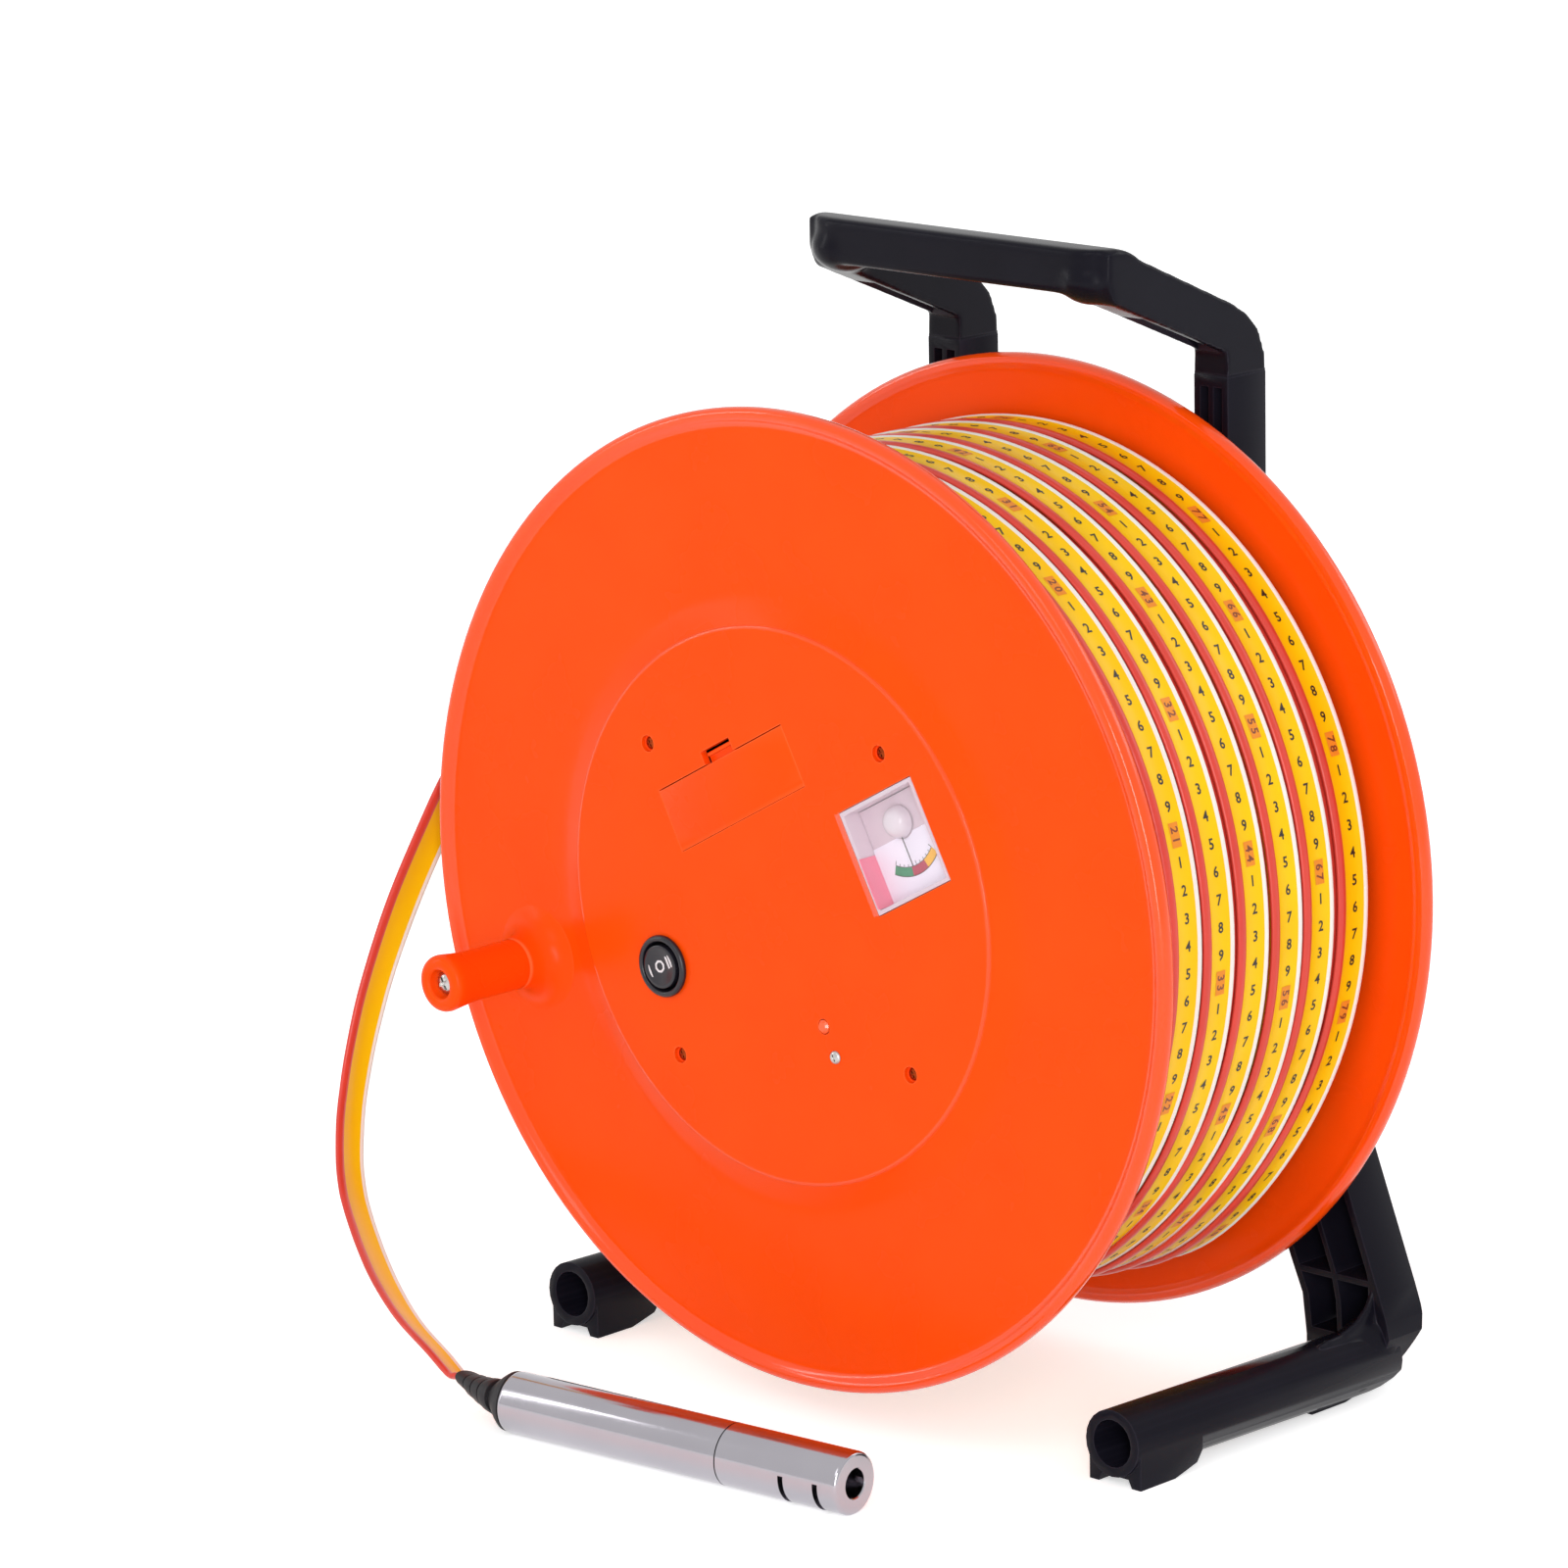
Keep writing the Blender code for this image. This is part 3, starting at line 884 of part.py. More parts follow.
nose = probe_piece("probe_nose", [(BARREL_RADIUS - 1.2 * MM, NOSE_END), (BARREL_RADIUS, NOSE_END - 1.2 * MM),
                                  (BARREL_RADIUS, NOSE_START), (spigot, NOSE_START),
                                  (spigot, GROOVE_START + GROOVE_WIDTH),
                                  (GROOVE_FLOOR, GROOVE_START + GROOVE_WIDTH), (GROOVE_FLOOR, GROOVE_START),
                                  (spigot, GROOVE_START), (spigot, SPIGOT_START),
                                  (PLUG_RADIUS + GAP, SPIGOT_START), (PLUG_RADIUS + GAP, BORE_START),
                                  (NOSE_BORE_RADIUS, BORE_START), (NOSE_BORE_RADIUS, NOSE_END)], 32, STEEL)
for number, distance in enumerate(SLOT_PLACES):
    slot = box("nose_slot_%d" % number, (SLOT_WIDTH, 2 * BARREL_RADIUS, 2 * BARREL_RADIUS))
    slot.rotation_euler = (0.0, 0.0, PROBE_YAW)
    side = Vector((math.sin(PROBE_YAW), -math.cos(PROBE_YAW), 0.0))
    slot.location = (probe_back + probe_way * (NOSE_END - distance)
                     + side * (BARREL_RADIUS + 2.2 * MM) + Vector((0, 0, -BARREL_RADIUS + 1.0 * MM)))
    boolean(nose, slot)
seal_middle = GROOVE_START + GROOVE_WIDTH / 2
SEAL_RADIUS = 0.5 * MM
seal_centre = GROOVE_FLOOR + GAP + SEAL_RADIUS
probe_piece("probe_seal", [(seal_centre + SEAL_RADIUS * math.cos(a), seal_middle + SEAL_RADIUS * math.sin(a))
                           for a in [math.radians(90 - 60 * i) for i in range(6)]], 24, RUBBER)
PLUG_FLANGE = 3.0 * MM
STEM_RADIUS = 1.2 * MM
probe_piece("probe_insulator", [(NOSE_BORE_RADIUS - GAP, BORE_START + GAP + PLUG_FLANGE),
                                (NOSE_BORE_RADIUS - GAP, BORE_START + GAP), (PLUG_RADIUS, BORE_START + GAP),
                                (PLUG_RADIUS, SPIGOT_START + 2 * MM), (STEM_RADIUS + GAP, SPIGOT_START + 2 * MM),
                                (STEM_RADIUS + GAP, BORE_START + GAP + PLUG_FLANGE)], 20, WHITE)
TIP_BASE = BORE_START + 2 * GAP + PLUG_FLANGE
TIP_END = NOSE_END - 4 * MM
probe_piece("probe_electrode", [(0, TIP_END), (ELECTRODE_RADIUS, TIP_END - 6 * MM), (ELECTRODE_RADIUS, TIP_BASE),
                                (STEM_RADIUS, TIP_BASE), (STEM_RADIUS, SPIGOT_START), (0, SPIGOT_START)],
            20, STEEL, closed=False)

# Rubber boot: a loft from the round barrel to the flat tape, in steps, bent a little upwards
TAPE_ROLL = math.radians(-27)
BOOT_RISE = 4.0 * MM
BOOT_STATIONS = [(4.0, 6.0, 6.0), (-0.3, 6.0, 6.0), (-0.3, 10.9, 10.9), (-1.5, 10.9, 10.9), (-6.5, 9.0, 6.0),
                 (-6.6, 9.7, 5.7), (-10.0, 9.7, 5.4), (-10.1, 9.3, 4.6), (-13.5, 9.3, 4.4),
                 (-13.6, 9.0, 3.7), (-17.0, 9.0, 3.5), (-17.1, 8.8, 2.8), (-21.5, 8.8, 2.4)]
BOOT_SIDES = 16
boot_end = BOOT_STATIONS[-1][0]
across = Vector((-math.sin(PROBE_YAW), math.cos(PROBE_YAW), 0.0))
wide = across * math.cos(TAPE_ROLL) + Vector((0, 0, math.sin(TAPE_ROLL)))
thin = probe_way.cross(wide)
bm = bmesh.new()
rings = []
for along, half_width, half_thick in BOOT_STATIONS:
    lift = BOOT_RISE * max(0.0, (along + 4) / (boot_end + 4)) ** 2 if along < -4 else 0.0
    middle = probe_back + probe_way * along * MM + Vector((0, 0, lift))
    angles = [2 * math.pi * i / BOOT_SIDES for i in range(BOOT_SIDES)]
    rings.append([bm.verts.new(middle + wide * (half_width * MM * math.cos(a))
                               + thin * (half_thick * MM * math.sin(a))) for a in angles])
for near, far in zip(rings, rings[1:]):
    for i in range(BOOT_SIDES):
        j = (i + 1) % BOOT_SIDES
        bm.faces.new((near[i], near[j], far[j], far[i]))
bm.faces.new(rings[0])
bm.faces.new(rings[-1])
keep(mesh_object("probe_boot", bm), RUBBER)

# Free tape: from the top left of the pack, bowing out past the front flange, down to the boot
# Points are x, y, z from the reel's centre and the tape's roll from level, in degrees
TAPE_ROUTE = [(-121.7, 19.0, 96.6, 0), (-130.1, 19.1, 85.6, 2), (-141.2, 19.6, 72.2, 6), (-151.2, 19.9, 59.5, 9),
              (-162.9, 19.8, 43.9, 11), (-173.9, 18.8, 27.4, 12), (-182.6, 16.3, 12.6, 12),
              (-190.2, 11.9, -5.4, 10), (-196.3, 6.3, -23.6, 8), (-200.1, 1.1, -39.1, 5),
              (-203.3, -4.6, -56.6, 1), (-204.7, -9.4, -70.9, -2), (-204.5, -15.1, -86.5, -7),
              (-202.0, -21.4, -100.6, -12), (-198.2, -26.9, -111.4, -15), (-192.3, -33.0, -122.0, -19),
              (-185.1, -38.5, -130.3, -21), (-177.9, -42.9, -136.0, -23), (-168.4, -48.2, -141.8, -24),
              (-159.4, -53.1, -146.4, -25), (-147.6, -59.1, -151.7, -25), (-134.5, -64.8, -157.0, -26),
              (-121.9, -69.1, -161.7, -26), (-105.7, -72.8, -167.3, -26), (-88.0, -74.8, -173.2, -27)]
route = [place(x * MM, y * MM, z * MM) for x, y, z, _ in TAPE_ROUTE]
rolls = [math.radians(roll) for _, _, _, roll in TAPE_ROUTE]
tip = probe_back + probe_way * (boot_end * MM - GAP) + Vector((0, 0, BOOT_RISE))
route[-1:] = [tip - probe_way * 5 * MM, tip]
rolls.append(rolls[-1])
bm = bmesh.new()
pairs = []
for i, point in enumerate(route):
    ahead = (route[min(i + 1, len(route) - 1)] - route[max(i - 1, 0)]).normalized()
    level = (Vector((0, 1, 0)) - ahead * ahead.y).normalized()
    side = level * math.cos(rolls[i]) + ahead.cross(level) * math.sin(rolls[i])
    pairs.append([bm.verts.new(point + side * (TAPE_WIDTH / 2 * sign)) for sign in (-1, 1)])
for (a, b), (c, d) in zip(pairs, pairs[1:]):
    bm.faces.new((a, b, d, c))
free_tape = mesh_object("free_tape", bm)
thickness = free_tape.modifiers.new("thickness", "SOLIDIFY")
thickness.thickness = TAPE_THICK
thickness.offset = 0.0
keep(free_tape, YELLOW)
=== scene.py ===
import json
import math

import bmesh
import bpy
from mathutils import Matrix, Vector

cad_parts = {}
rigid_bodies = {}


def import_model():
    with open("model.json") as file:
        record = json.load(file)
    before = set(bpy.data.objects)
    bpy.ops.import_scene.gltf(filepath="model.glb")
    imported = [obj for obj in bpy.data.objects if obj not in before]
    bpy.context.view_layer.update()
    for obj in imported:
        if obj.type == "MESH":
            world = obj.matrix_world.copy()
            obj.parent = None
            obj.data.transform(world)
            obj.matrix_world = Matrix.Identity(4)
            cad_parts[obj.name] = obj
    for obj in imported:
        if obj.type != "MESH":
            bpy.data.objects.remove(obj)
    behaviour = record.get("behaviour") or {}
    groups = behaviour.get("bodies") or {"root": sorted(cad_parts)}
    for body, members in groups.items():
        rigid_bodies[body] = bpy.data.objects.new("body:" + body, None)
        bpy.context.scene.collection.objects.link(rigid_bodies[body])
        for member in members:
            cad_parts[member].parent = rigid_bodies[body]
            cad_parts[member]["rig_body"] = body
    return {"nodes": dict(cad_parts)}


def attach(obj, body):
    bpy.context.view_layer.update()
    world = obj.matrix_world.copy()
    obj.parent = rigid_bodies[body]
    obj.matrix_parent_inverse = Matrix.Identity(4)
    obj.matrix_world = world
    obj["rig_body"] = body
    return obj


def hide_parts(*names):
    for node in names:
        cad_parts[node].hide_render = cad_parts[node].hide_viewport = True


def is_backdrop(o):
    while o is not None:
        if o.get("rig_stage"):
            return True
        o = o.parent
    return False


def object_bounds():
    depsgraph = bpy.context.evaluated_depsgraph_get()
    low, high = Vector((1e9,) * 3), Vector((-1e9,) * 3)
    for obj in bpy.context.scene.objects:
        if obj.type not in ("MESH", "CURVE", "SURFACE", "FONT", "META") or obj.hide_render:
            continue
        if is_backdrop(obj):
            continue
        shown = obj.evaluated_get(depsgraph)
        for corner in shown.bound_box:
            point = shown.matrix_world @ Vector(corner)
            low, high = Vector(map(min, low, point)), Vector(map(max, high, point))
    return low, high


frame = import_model()
for leftover in [o for o in bpy.data.objects if o.name in ("Cube", "Camera", "Light")]:
    bpy.data.objects.remove(leftover)
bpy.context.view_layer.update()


# Camera
# A long lens well to the right of the reel and a little above it, leaning about a degree.
# Its centre ray passes just above the middle of the reel.
sight_turn = math.radians(44.03)
sight_tilt = math.radians(13.35)
sight_lean = math.radians(-1.13)
sight_from = Vector((1.6715, -1.7738, 0.8025))
ahead = Vector((-math.sin(sight_turn) * math.cos(sight_tilt),
                math.cos(sight_turn) * math.cos(sight_tilt),
                -math.sin(sight_tilt)))
level = Vector((math.cos(sight_turn), math.sin(sight_turn), 0.0))
above = level.cross(ahead)
right = level * math.cos(sight_lean) + above * math.sin(sight_lean)
up = above * math.cos(sight_lean) - level * math.sin(sight_lean)
bpy.ops.object.select_all(action="DESELECT")
bpy.ops.object.camera_add()
camera = bpy.context.object
camera.matrix_world = Matrix((
    (right.x, up.x, -ahead.x, sight_from.x),
    (right.y, up.y, -ahead.y, sight_from.y),
    (right.z, up.z, -ahead.z, sight_from.z),
    (0.0, 0.0, 0.0, 1.0)))
camera.data.sensor_width = 36.0
camera.data.lens = 163.44
camera.data.dof.use_dof = False
bpy.context.scene.camera = camera
bpy.context.scene.view_settings.view_transform = "Standard"


# Free tape
# The flat measuring tape between the reel and the probe: two conductors in round coloured
# edges, joined by a thin printed web, all one extrusion of polyethylene. It leaves the top left
# of the pack, bows out past the front disc and drops into the probe's boot.
MM = 0.001
REEL = Vector((0.0, -46.29727, 188.5))


def at(x, y, z):
    """Point given in mm from the reel's axis at the front rim."""
    return (REEL + Vector((x, y, z))) * MM


def paint(code):
    """Linear colour of an sRGB hex value."""
    values = [int(code[i:i + 2], 16) / 255 for i in (1, 3, 5)]
    return (*[v / 12.92 if v <= 0.04045 else ((v + 0.055) / 1.055) ** 2.4 for v in values], 1.0)


def add(tree, kind, settings=(), links=()):
    """Shader node with its settings and the sockets that feed it."""
    node = tree.nodes.new("ShaderNode" + kind)
    for name, value in dict(settings).items():
        if name in node.inputs and not hasattr(node, name):
            node.inputs[name].default_value = value
        else:
            setattr(node, name, value)
    for name, source in dict(links).items():
        tree.links.new(source, node.inputs[name])
    return node


def surface(name, code, dark_code, roughness, grain, bump, specular=0.5, metallic=0.0, edge_wear_and_sheen=None):
    """Moulded, printed or plated surface: a colour that drifts a little over 30 mm, grain and
    bump in mm, uneven gloss, and if asked a paler colour along the edges: rubbing, and on the
    orange ABS also a painted highlight. The scale of a noise is 1000 over its size in mm."""
    made = bpy.data.materials.new(name)
    made.use_nodes = True
    tree = made.node_tree
    shader = tree.nodes["Principled BSDF"]
    shader.inputs["IOR"].default_value = 1.50
    shader.inputs["Metallic"].default_value = metallic
    shader.inputs["Specular IOR Level"].default_value = specular
    place = add(tree, "TexCoord")
    drift = add(tree, "TexNoise", {"Scale": 1000 / 30, "Detail": 3.0},
                {"Vector": place.outputs["Object"]})
    tint = add(tree, "Mix", {"data_type": "RGBA"}, {"Factor": drift.outputs["Fac"]})
    tint.inputs[6].default_value = paint(code)
    tint.inputs[7].default_value = paint(dark_code)
    colour = tint.outputs[2]
    if edge_wear_and_sheen:
        # A normal rounded over 0.6 mm differs from the true one only beside an edge
        soft = add(tree, "Bevel", {"samples": 3, "Radius": 0.6 * MM})
        facing_out = add(tree, "NewGeometry")
        same = add(tree, "VectorMath", {"operation": "DOT_PRODUCT"},
                   {0: soft.outputs["Normal"], 1: facing_out.outputs["True Normal"]})
        edge = add(tree, "MapRange", {"From Min": 0.985, "From Max": 0.88, "To Max": 0.5},
                   {"Value": same.outputs["Value"]})
        # Paler edges: rubbing, and on the orange also a painted highlight along the edges
        wear_and_sheen_mix = add(tree, "Mix", {"data_type": "RGBA"}, {"Factor": edge.outputs["Result"]})
        tree.links.new(colour, wear_and_sheen_mix.inputs[6])
        wear_and_sheen_mix.inputs[7].default_value = paint(edge_wear_and_sheen)
        colour = wear_and_sheen_mix.outputs[2]
    tree.links.new(colour, shader.inputs["Base Color"])
    fine = add(tree, "TexNoise", {"Scale": 1000 / grain, "Detail": 2.0},
               {"Vector": place.outputs["Object"]})
    gloss = add(tree, "MapRange", {"To Min": roughness * 0.85, "To Max": roughness * 1.2},
                {"Value": drift.outputs["Fac"]})
    tree.links.new(gloss.outputs["Result"], shader.inputs["Roughness"])
    relief = add(tree, "Bump", {"Strength": 0.5, "Distance": bump * MM},
                 {"Height": fine.outputs["Fac"]})
    tree.links.new(relief.outputs["Normal"], shader.inputs["Normal"])
    return made


def alone(*objects):
    """Select only these objects, the last one active."""
    bpy.ops.object.select_all(action="DESELECT")
    for each in objects:
        each.select_set(True)
        bpy.context.view_layer.objects.active = each


def settle(piece, body, slot, *materials, angle=35.0):
    """Put a finished piece's place in its mesh, shade it and let it ride on its body."""
    alone(piece)
    bpy.ops.object.transform_apply(location=True, rotation=True, scale=True)
    bpy.ops.object.shade_smooth_by_angle(angle=math.radians(angle))
    if materials:
        piece.data.materials.clear()
        for each in materials:
            piece.data.materials.append(each)
    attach(piece, body)


def tube(name, rings, strip=lambda i: 0):
    """Closed tube through rings of points, each strip of its side with its material index."""
    shape = bmesh.new()
    loops = [[shape.verts.new(point) for point in ring] for ring in rings]
    for near, far in zip(loops, loops[1:]):
        for i in range(len(near)):
            j = (i + 1) % len(near)
            shape.faces.new((near[i], near[j], far[j], far[i])).material_index = strip(i)
    shape.faces.new(loops[0])
    shape.faces.new(loops[-1])
    bmesh.ops.recalc_face_normals(shape, faces=shape.faces)
    mesh = bpy.data.meshes.new(name)
    shape.to_mesh(mesh)
    shape.free()
    made = bpy.data.objects.new(name, mesh)
    bpy.context.scene.collection.objects.link(made)
    return made


# Extruded polyethylene: no grain to speak of and an even, slightly waxy gloss, so that each
# coloured edge carries one soft line of light. The thin yellow web is flatter and duller.
tape_red = surface("polyethylene_red", "#E4483A", "#CB3A2E", 0.30, 0.5, 0.004, specular=0.4)
tape_yellow = surface("polyethylene_yellow", "#FFD20A", "#FCC000", 0.36, 0.5, 0.004, specular=0.2)
tape_white = surface("polyethylene_white", "#F6F2EC", "#ECE6DE", 0.34, 0.5, 0.004)

# Half section, (across, thick) in mm: red edge, web, white edge; thick is outwards on the reel
RED_EDGE = [(-5.9 + 2.1 * math.cos(math.radians(a)), 1.15 * math.sin(math.radians(a)))
            for a in range(30, 331, 25)]
WHITE_EDGE = [(6.75 + 1.25 * math.cos(math.radians(a)), 1.05 * math.sin(math.radians(a)))
              for a in range(-150, 151, 30)]
TAPE_SECTION = RED_EDGE + WHITE_EDGE
WEB_TOP = 0.56
INSIDE_FROM = -4.0
INSIDE_SCALE = 0.6

# Middle line of the tape, (x, y, z, roll in degrees). It follows the photo from the front disc's
# edge to the boot; behind the disc it is a guess. Then it runs through the boot and 30 mm into
# the barrel, drawn narrower there so that it clears the bores.
PROBE_YAW = math.radians(5.1)
PROBE_WAY = Vector((math.cos(PROBE_YAW), math.sin(PROBE_YAW), 0.0))
PROBE_BACK = Vector((-65.6, REEL.y - 72.8, 11.25)) * MM
BOOT_LIFT = 4.0
BOOT_ROLL = math.radians(-27)
BOOT_END = PROBE_BACK - PROBE_WAY * 21.8 * MM + Vector((0.0, 0.0, BOOT_LIFT * MM))
TAPE_ROUTE = [(-121.7, 19.0, 96.6, 0), (-130.1, 19.1, 85.6, 2), (-141.2, 19.6, 72.2, 6),
              (-151.2, 19.9, 59.5, 9), (-162.9, 19.8, 43.9, 11), (-173.9, 18.8, 27.4, 12),
              (-182.6, 16.3, 12.6, 12), (-190.2, 11.9, -5.4, 10), (-196.3, 6.3, -23.6, 8),
              (-200.1, 1.1, -39.1, 5), (-203.3, -4.6, -56.6, 1), (-204.7, -9.4, -70.9, -2),
              (-204.5, -15.1, -86.5, -7), (-202.0, -21.4, -100.6, -12),
              (-198.2, -26.9, -111.4, -15), (-192.3, -33.0, -122.0, -19),
              (-185.1, -38.5, -130.3, -21), (-177.9, -42.9, -136.0, -23),
              (-168.4, -48.2, -141.8, -24), (-159.4, -53.1, -146.4, -25),
              (-147.6, -59.1, -151.7, -25), (-134.5, -64.8, -157.0, -26),
              (-121.9, -69.1, -161.7, -26), (-105.7, -72.8, -167.3, -26)]
knots = [(*at(x, y, z), math.radians(roll)) for x, y, z, roll in TAPE_ROUTE]
knots += [(*(BOOT_END - PROBE_WAY * 5 * MM), BOOT_ROLL), (*BOOT_END, BOOT_ROLL)]
knots += [(*(PROBE_BACK + PROBE_WAY * along * MM + Vector((0, 0, lift * MM))), BOOT_ROLL)
          for along, lift in ((-16.8, 2.1), (-11.8, 0.8), (-6.8, 0.1),
                              (0, 0), (10, 0), (20, 0), (30, 0))]
knots = [Vector(knot) for knot in knots]
stations = []
for i in range(len(knots) - 1):
    a, b = knots[max(i - 1, 0)], knots[i]
    c, d = knots[i + 1], knots[min(i + 2, len(knots) - 1)]
    bend, turn_in = 2 * a - 5 * b + 4 * c - d, 3 * b - a - 3 * c + d
    for step in range(5):
        t = step / 5
        stations.append(b + 0.5 * t * ((c - a) + t * (bend + t * turn_in)))
stations.append(knots[-1])
tape_frames = []
for i, station in enumerate(stations):
    before, after = stations[max(i - 1, 0)].xyz, stations[min(i + 1, len(stations) - 1)].xyz
    way = (after - before).normalized()
    flat = (Vector((0, 1, 0)) - way * way.y).normalized()
    across = flat * math.cos(station.w) + way.cross(flat) * math.sin(station.w)
    tape_frames.append((station.xyz, way, across, across.cross(way)))
rings = []
for spot, way, across, thick in tape_frames:
    inside = (spot - PROBE_BACK).dot(PROBE_WAY) > INSIDE_FROM * MM
    narrow = INSIDE_SCALE if inside else 1.0
    rings.append([spot + across * (s * narrow * MM) + thick * (t * narrow * MM)
                  for s, t in TAPE_SECTION])


def tape_strip(i):
    """Material index of a strip of the tape's side: red edge, yellow web or white edge."""
    red_end, white_end = len(RED_EDGE) - 1, len(TAPE_SECTION) - 1
    return 0 if i < red_end else 2 if red_end < i < white_end else 1


free_strip = tube("free_tape_strip", rings, tape_strip)
settle(free_strip, "stand", "tape_plastic", angle=50)
for each in (tape_red, tape_yellow, tape_white):
    free_strip.data.materials.append(each)
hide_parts("free_tape")


# Wound tape
# Seven turns lie side by side on the drum, the numbered side out. Each turn rests on an older
# one set a little forward, whose red edge shows in the gap.
TURN_COUNT = 7
FIRST_TURN_Y = 18.4
TURN_PITCH = 17.85
TURN_RADIUS = 152.85
LAYER_DROP = 2.4
UNDER_FORWARD, FIRST_UNDER_BACK = 1.9, 1.2


def drawn(name, points):
    """Line drawn from one vertex through points, left in edit mode with all of it selected."""
    alone()
    bpy.ops.mesh.primitive_plane_add(size=0.001, location=points[0])
    piece = bpy.context.object
    piece.name = name
    bpy.ops.object.mode_set(mode="EDIT")
    bpy.ops.mesh.select_mode(type="VERT")
    bpy.ops.mesh.select_all(action="SELECT")
    bpy.ops.mesh.merge(type="CENTER")
    for here, there in zip(points, points[1:]):
        bpy.ops.mesh.extrude_vertices_move(TRANSFORM_OT_translate={"value": there - here})
    bpy.ops.mesh.select_all(action="SELECT")
    return piece


def spun(name, profile, centre, way=(0, 1, 0), steps=96, closed=False):
    """Profile of (radius, distance along the axis) in mm, drawn and spun about the axis."""
    way = Vector(way).normalized()
    side = way.orthogonal().normalized()
    points = [centre + side * (radius * MM) + way * (along * MM) for radius, along in profile]
    if closed:
        points.append(points[0])
    piece = drawn(name, points)
    bpy.ops.mesh.spin(steps=steps, angle=2 * math.pi, center=centre, axis=way)
    bpy.ops.mesh.select_all(action="SELECT")
    bpy.ops.mesh.remove_doubles(threshold=0.000002)
    bpy.ops.mesh.normals_make_consistent(inside=False)
    bpy.ops.object.mode_set(mode="OBJECT")
    return piece


def copy_of(piece, name):
    """Copy with a mesh of its own."""
    made = piece.copy()
    made.data = piece.data.copy()
    made.name = name
    bpy.context.scene.collection.objects.link(made)
    return made


def tape_turn(name, radius, steps):
    """One turn of the tape about the reel's axis, its middle at the first turn's place."""
    made = spun(name, [(radius + t, FIRST_TURN_Y + s) for s, t in TAPE_SECTION], at(0, 0, 0),
                steps=steps, closed=True)
    for each in (tape_red, tape_yellow, tape_white):
        made.data.materials.append(each)
    middle = (REEL.y + FIRST_TURN_Y) * MM
    for face in made.data.polygons:
        across = sum(made.data.vertices[v].co.y for v in face.vertices) / len(face.vertices)
        across = (across + made.location.y - middle) / MM
        # The web lies between the two coloured edges, in mm from the tape's middle
        face.material_index = 0 if across < -3.6 else 2 if across > 5.3 else 1
    return made


# How far in mm each turn slips aside and rises over its neighbour where the pack is loose,
# centred low on the right of the reel
SLACK = {1: (-1.2, 0.0), 2: (1.8, 0.0), 3: (-3.5, 1.7),
         4: (-7.5, 3.7), 5: (-11.0, 5.7), 6: (-14.0, 7.7)}
SLACK_MIDDLE = -0.92
SLACK_SPREAD = 0.36


def wander(piece, number, shift):
    """Drift of a turn, which is never wound quite true, and the slack of an upper turn."""
    aside, rise = SLACK.get(number, (0.0, 0.0))
    for vertex in piece.data.vertices:
        x, z = vertex.co.x, vertex.co.z - REEL.z * MM
        round_reel = math.atan2(z, x)
        loose = math.exp(-((round_reel - SLACK_MIDDLE) / SLACK_SPREAD) ** 2)
        drift = 0.45 * math.sin(round_reel + number * 2.1) + 0.3 * math.sin(2 * round_reel + number)
        vertex.co.y += (shift + drift + aside * loose) * MM
        vertex.co.x += math.cos(round_reel) * rise * loose * MM
        vertex.co.z += math.sin(round_reel) * rise * loose * MM


upper_turn = tape_turn("upper_turn", TURN_RADIUS, 160)
lower_turn = tape_turn("lower_turn", TURN_RADIUS - LAYER_DROP, 120)
for template in (upper_turn, lower_turn):
    alone(template)
    bpy.ops.object.transform_apply(location=True, rotation=True, scale=True)
layers = []
for turn in range(TURN_COUNT):
    layer = copy_of(upper_turn, "wound_layer_%d" % turn)
    wander(layer, turn, turn * TURN_PITCH)
    layers.append(layer)
    # The first lower turn goes back instead, to stay clear of the front disc
    layer = copy_of(lower_turn, "wound_under_%d" % turn)
    wander(layer, turn + 0.7, turn * TURN_PITCH - UNDER_FORWARD if turn else FIRST_UNDER_BACK)
    layers.append(layer)
bpy.data.objects.remove(upper_turn)
bpy.data.objects.remove(lower_turn)
alone(*layers)
bpy.ops.object.join()
wound = bpy.context.object
wound.name = "wound_tape_turns"
settle(wound, "reel", "tape_plastic", angle=50)
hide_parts("wound_tape")


# Tape printing
# Black figures at each centimetre and an orange box at each decimetre, with its number, printed
# on the web. Ten boxes go round the reel, so a printed centimetre is 9.64 mm.
FIGURES_ROUND = 100
PRINTED_CENTIMETRE = 9.64
FREE_FIGURES = 38
TURN_STAGGER = 0.9
FONT_CAP = 0.7
FIGURE_HIGH = 3.7
NUMBER_HIGH = 3.4
BOX_ACROSS, BOX_ALONG = 4.6, 8.6
PRINT_ASIDE = 0.7
PRINT_LIFT = 0.06

# Ink printed on polyethylene: matt and thin, so that the figures don't shine with the web. The
# boxes let the yellow through and look amber, and their numbers look brown on it.
print_black = surface("printing_ink_black", "#2A2118", "#1C1712", 0.45, 0.4, 0.003)
print_orange = surface("printing_ink_orange", "#F29A34", "#EA8822", 0.42, 0.4, 0.003, specular=0.2)
print_brown = surface("printing_ink_brown", "#83401C", "#743414", 0.45, 0.4, 0.003)
glyphs = {}
for figure in "0123456789IO":
    alone()
    bpy.ops.object.text_add(location=(0, 0, 0))
    word = bpy.context.object
    word.data.body = figure
    word.data.size = 1.0
    word.data.align_x = "CENTER"
    word.data.align_y = "CENTER"
    word.data.offset = 0.022
    word.data.resolution_u = 2
    bpy.ops.object.convert(target="MESH")
    glyphs[figure] = bpy.context.object
    glyphs[figure].name = "figure_" + figure


def printed(figure, matrix, size, name="ink"):
    """Flat figure, size mm high, laid where the matrix puts the plane of its face."""
    made = copy_of(glyphs[figure], name)
    made.data.transform(matrix @ Matrix.Scale(size / FONT_CAP * MM, 4))
    return made


def facing(spot, across, along, outwards):
    """Matrix of a plane at a spot: x across, y along, z outwards."""
    return Matrix(((across.x, along.x, outwards.x, spot.x),
                   (across.y, along.y, outwards.y, spot.y),
                   (across.z, along.z, outwards.z, spot.z),
                   (0, 0, 0, 1)))


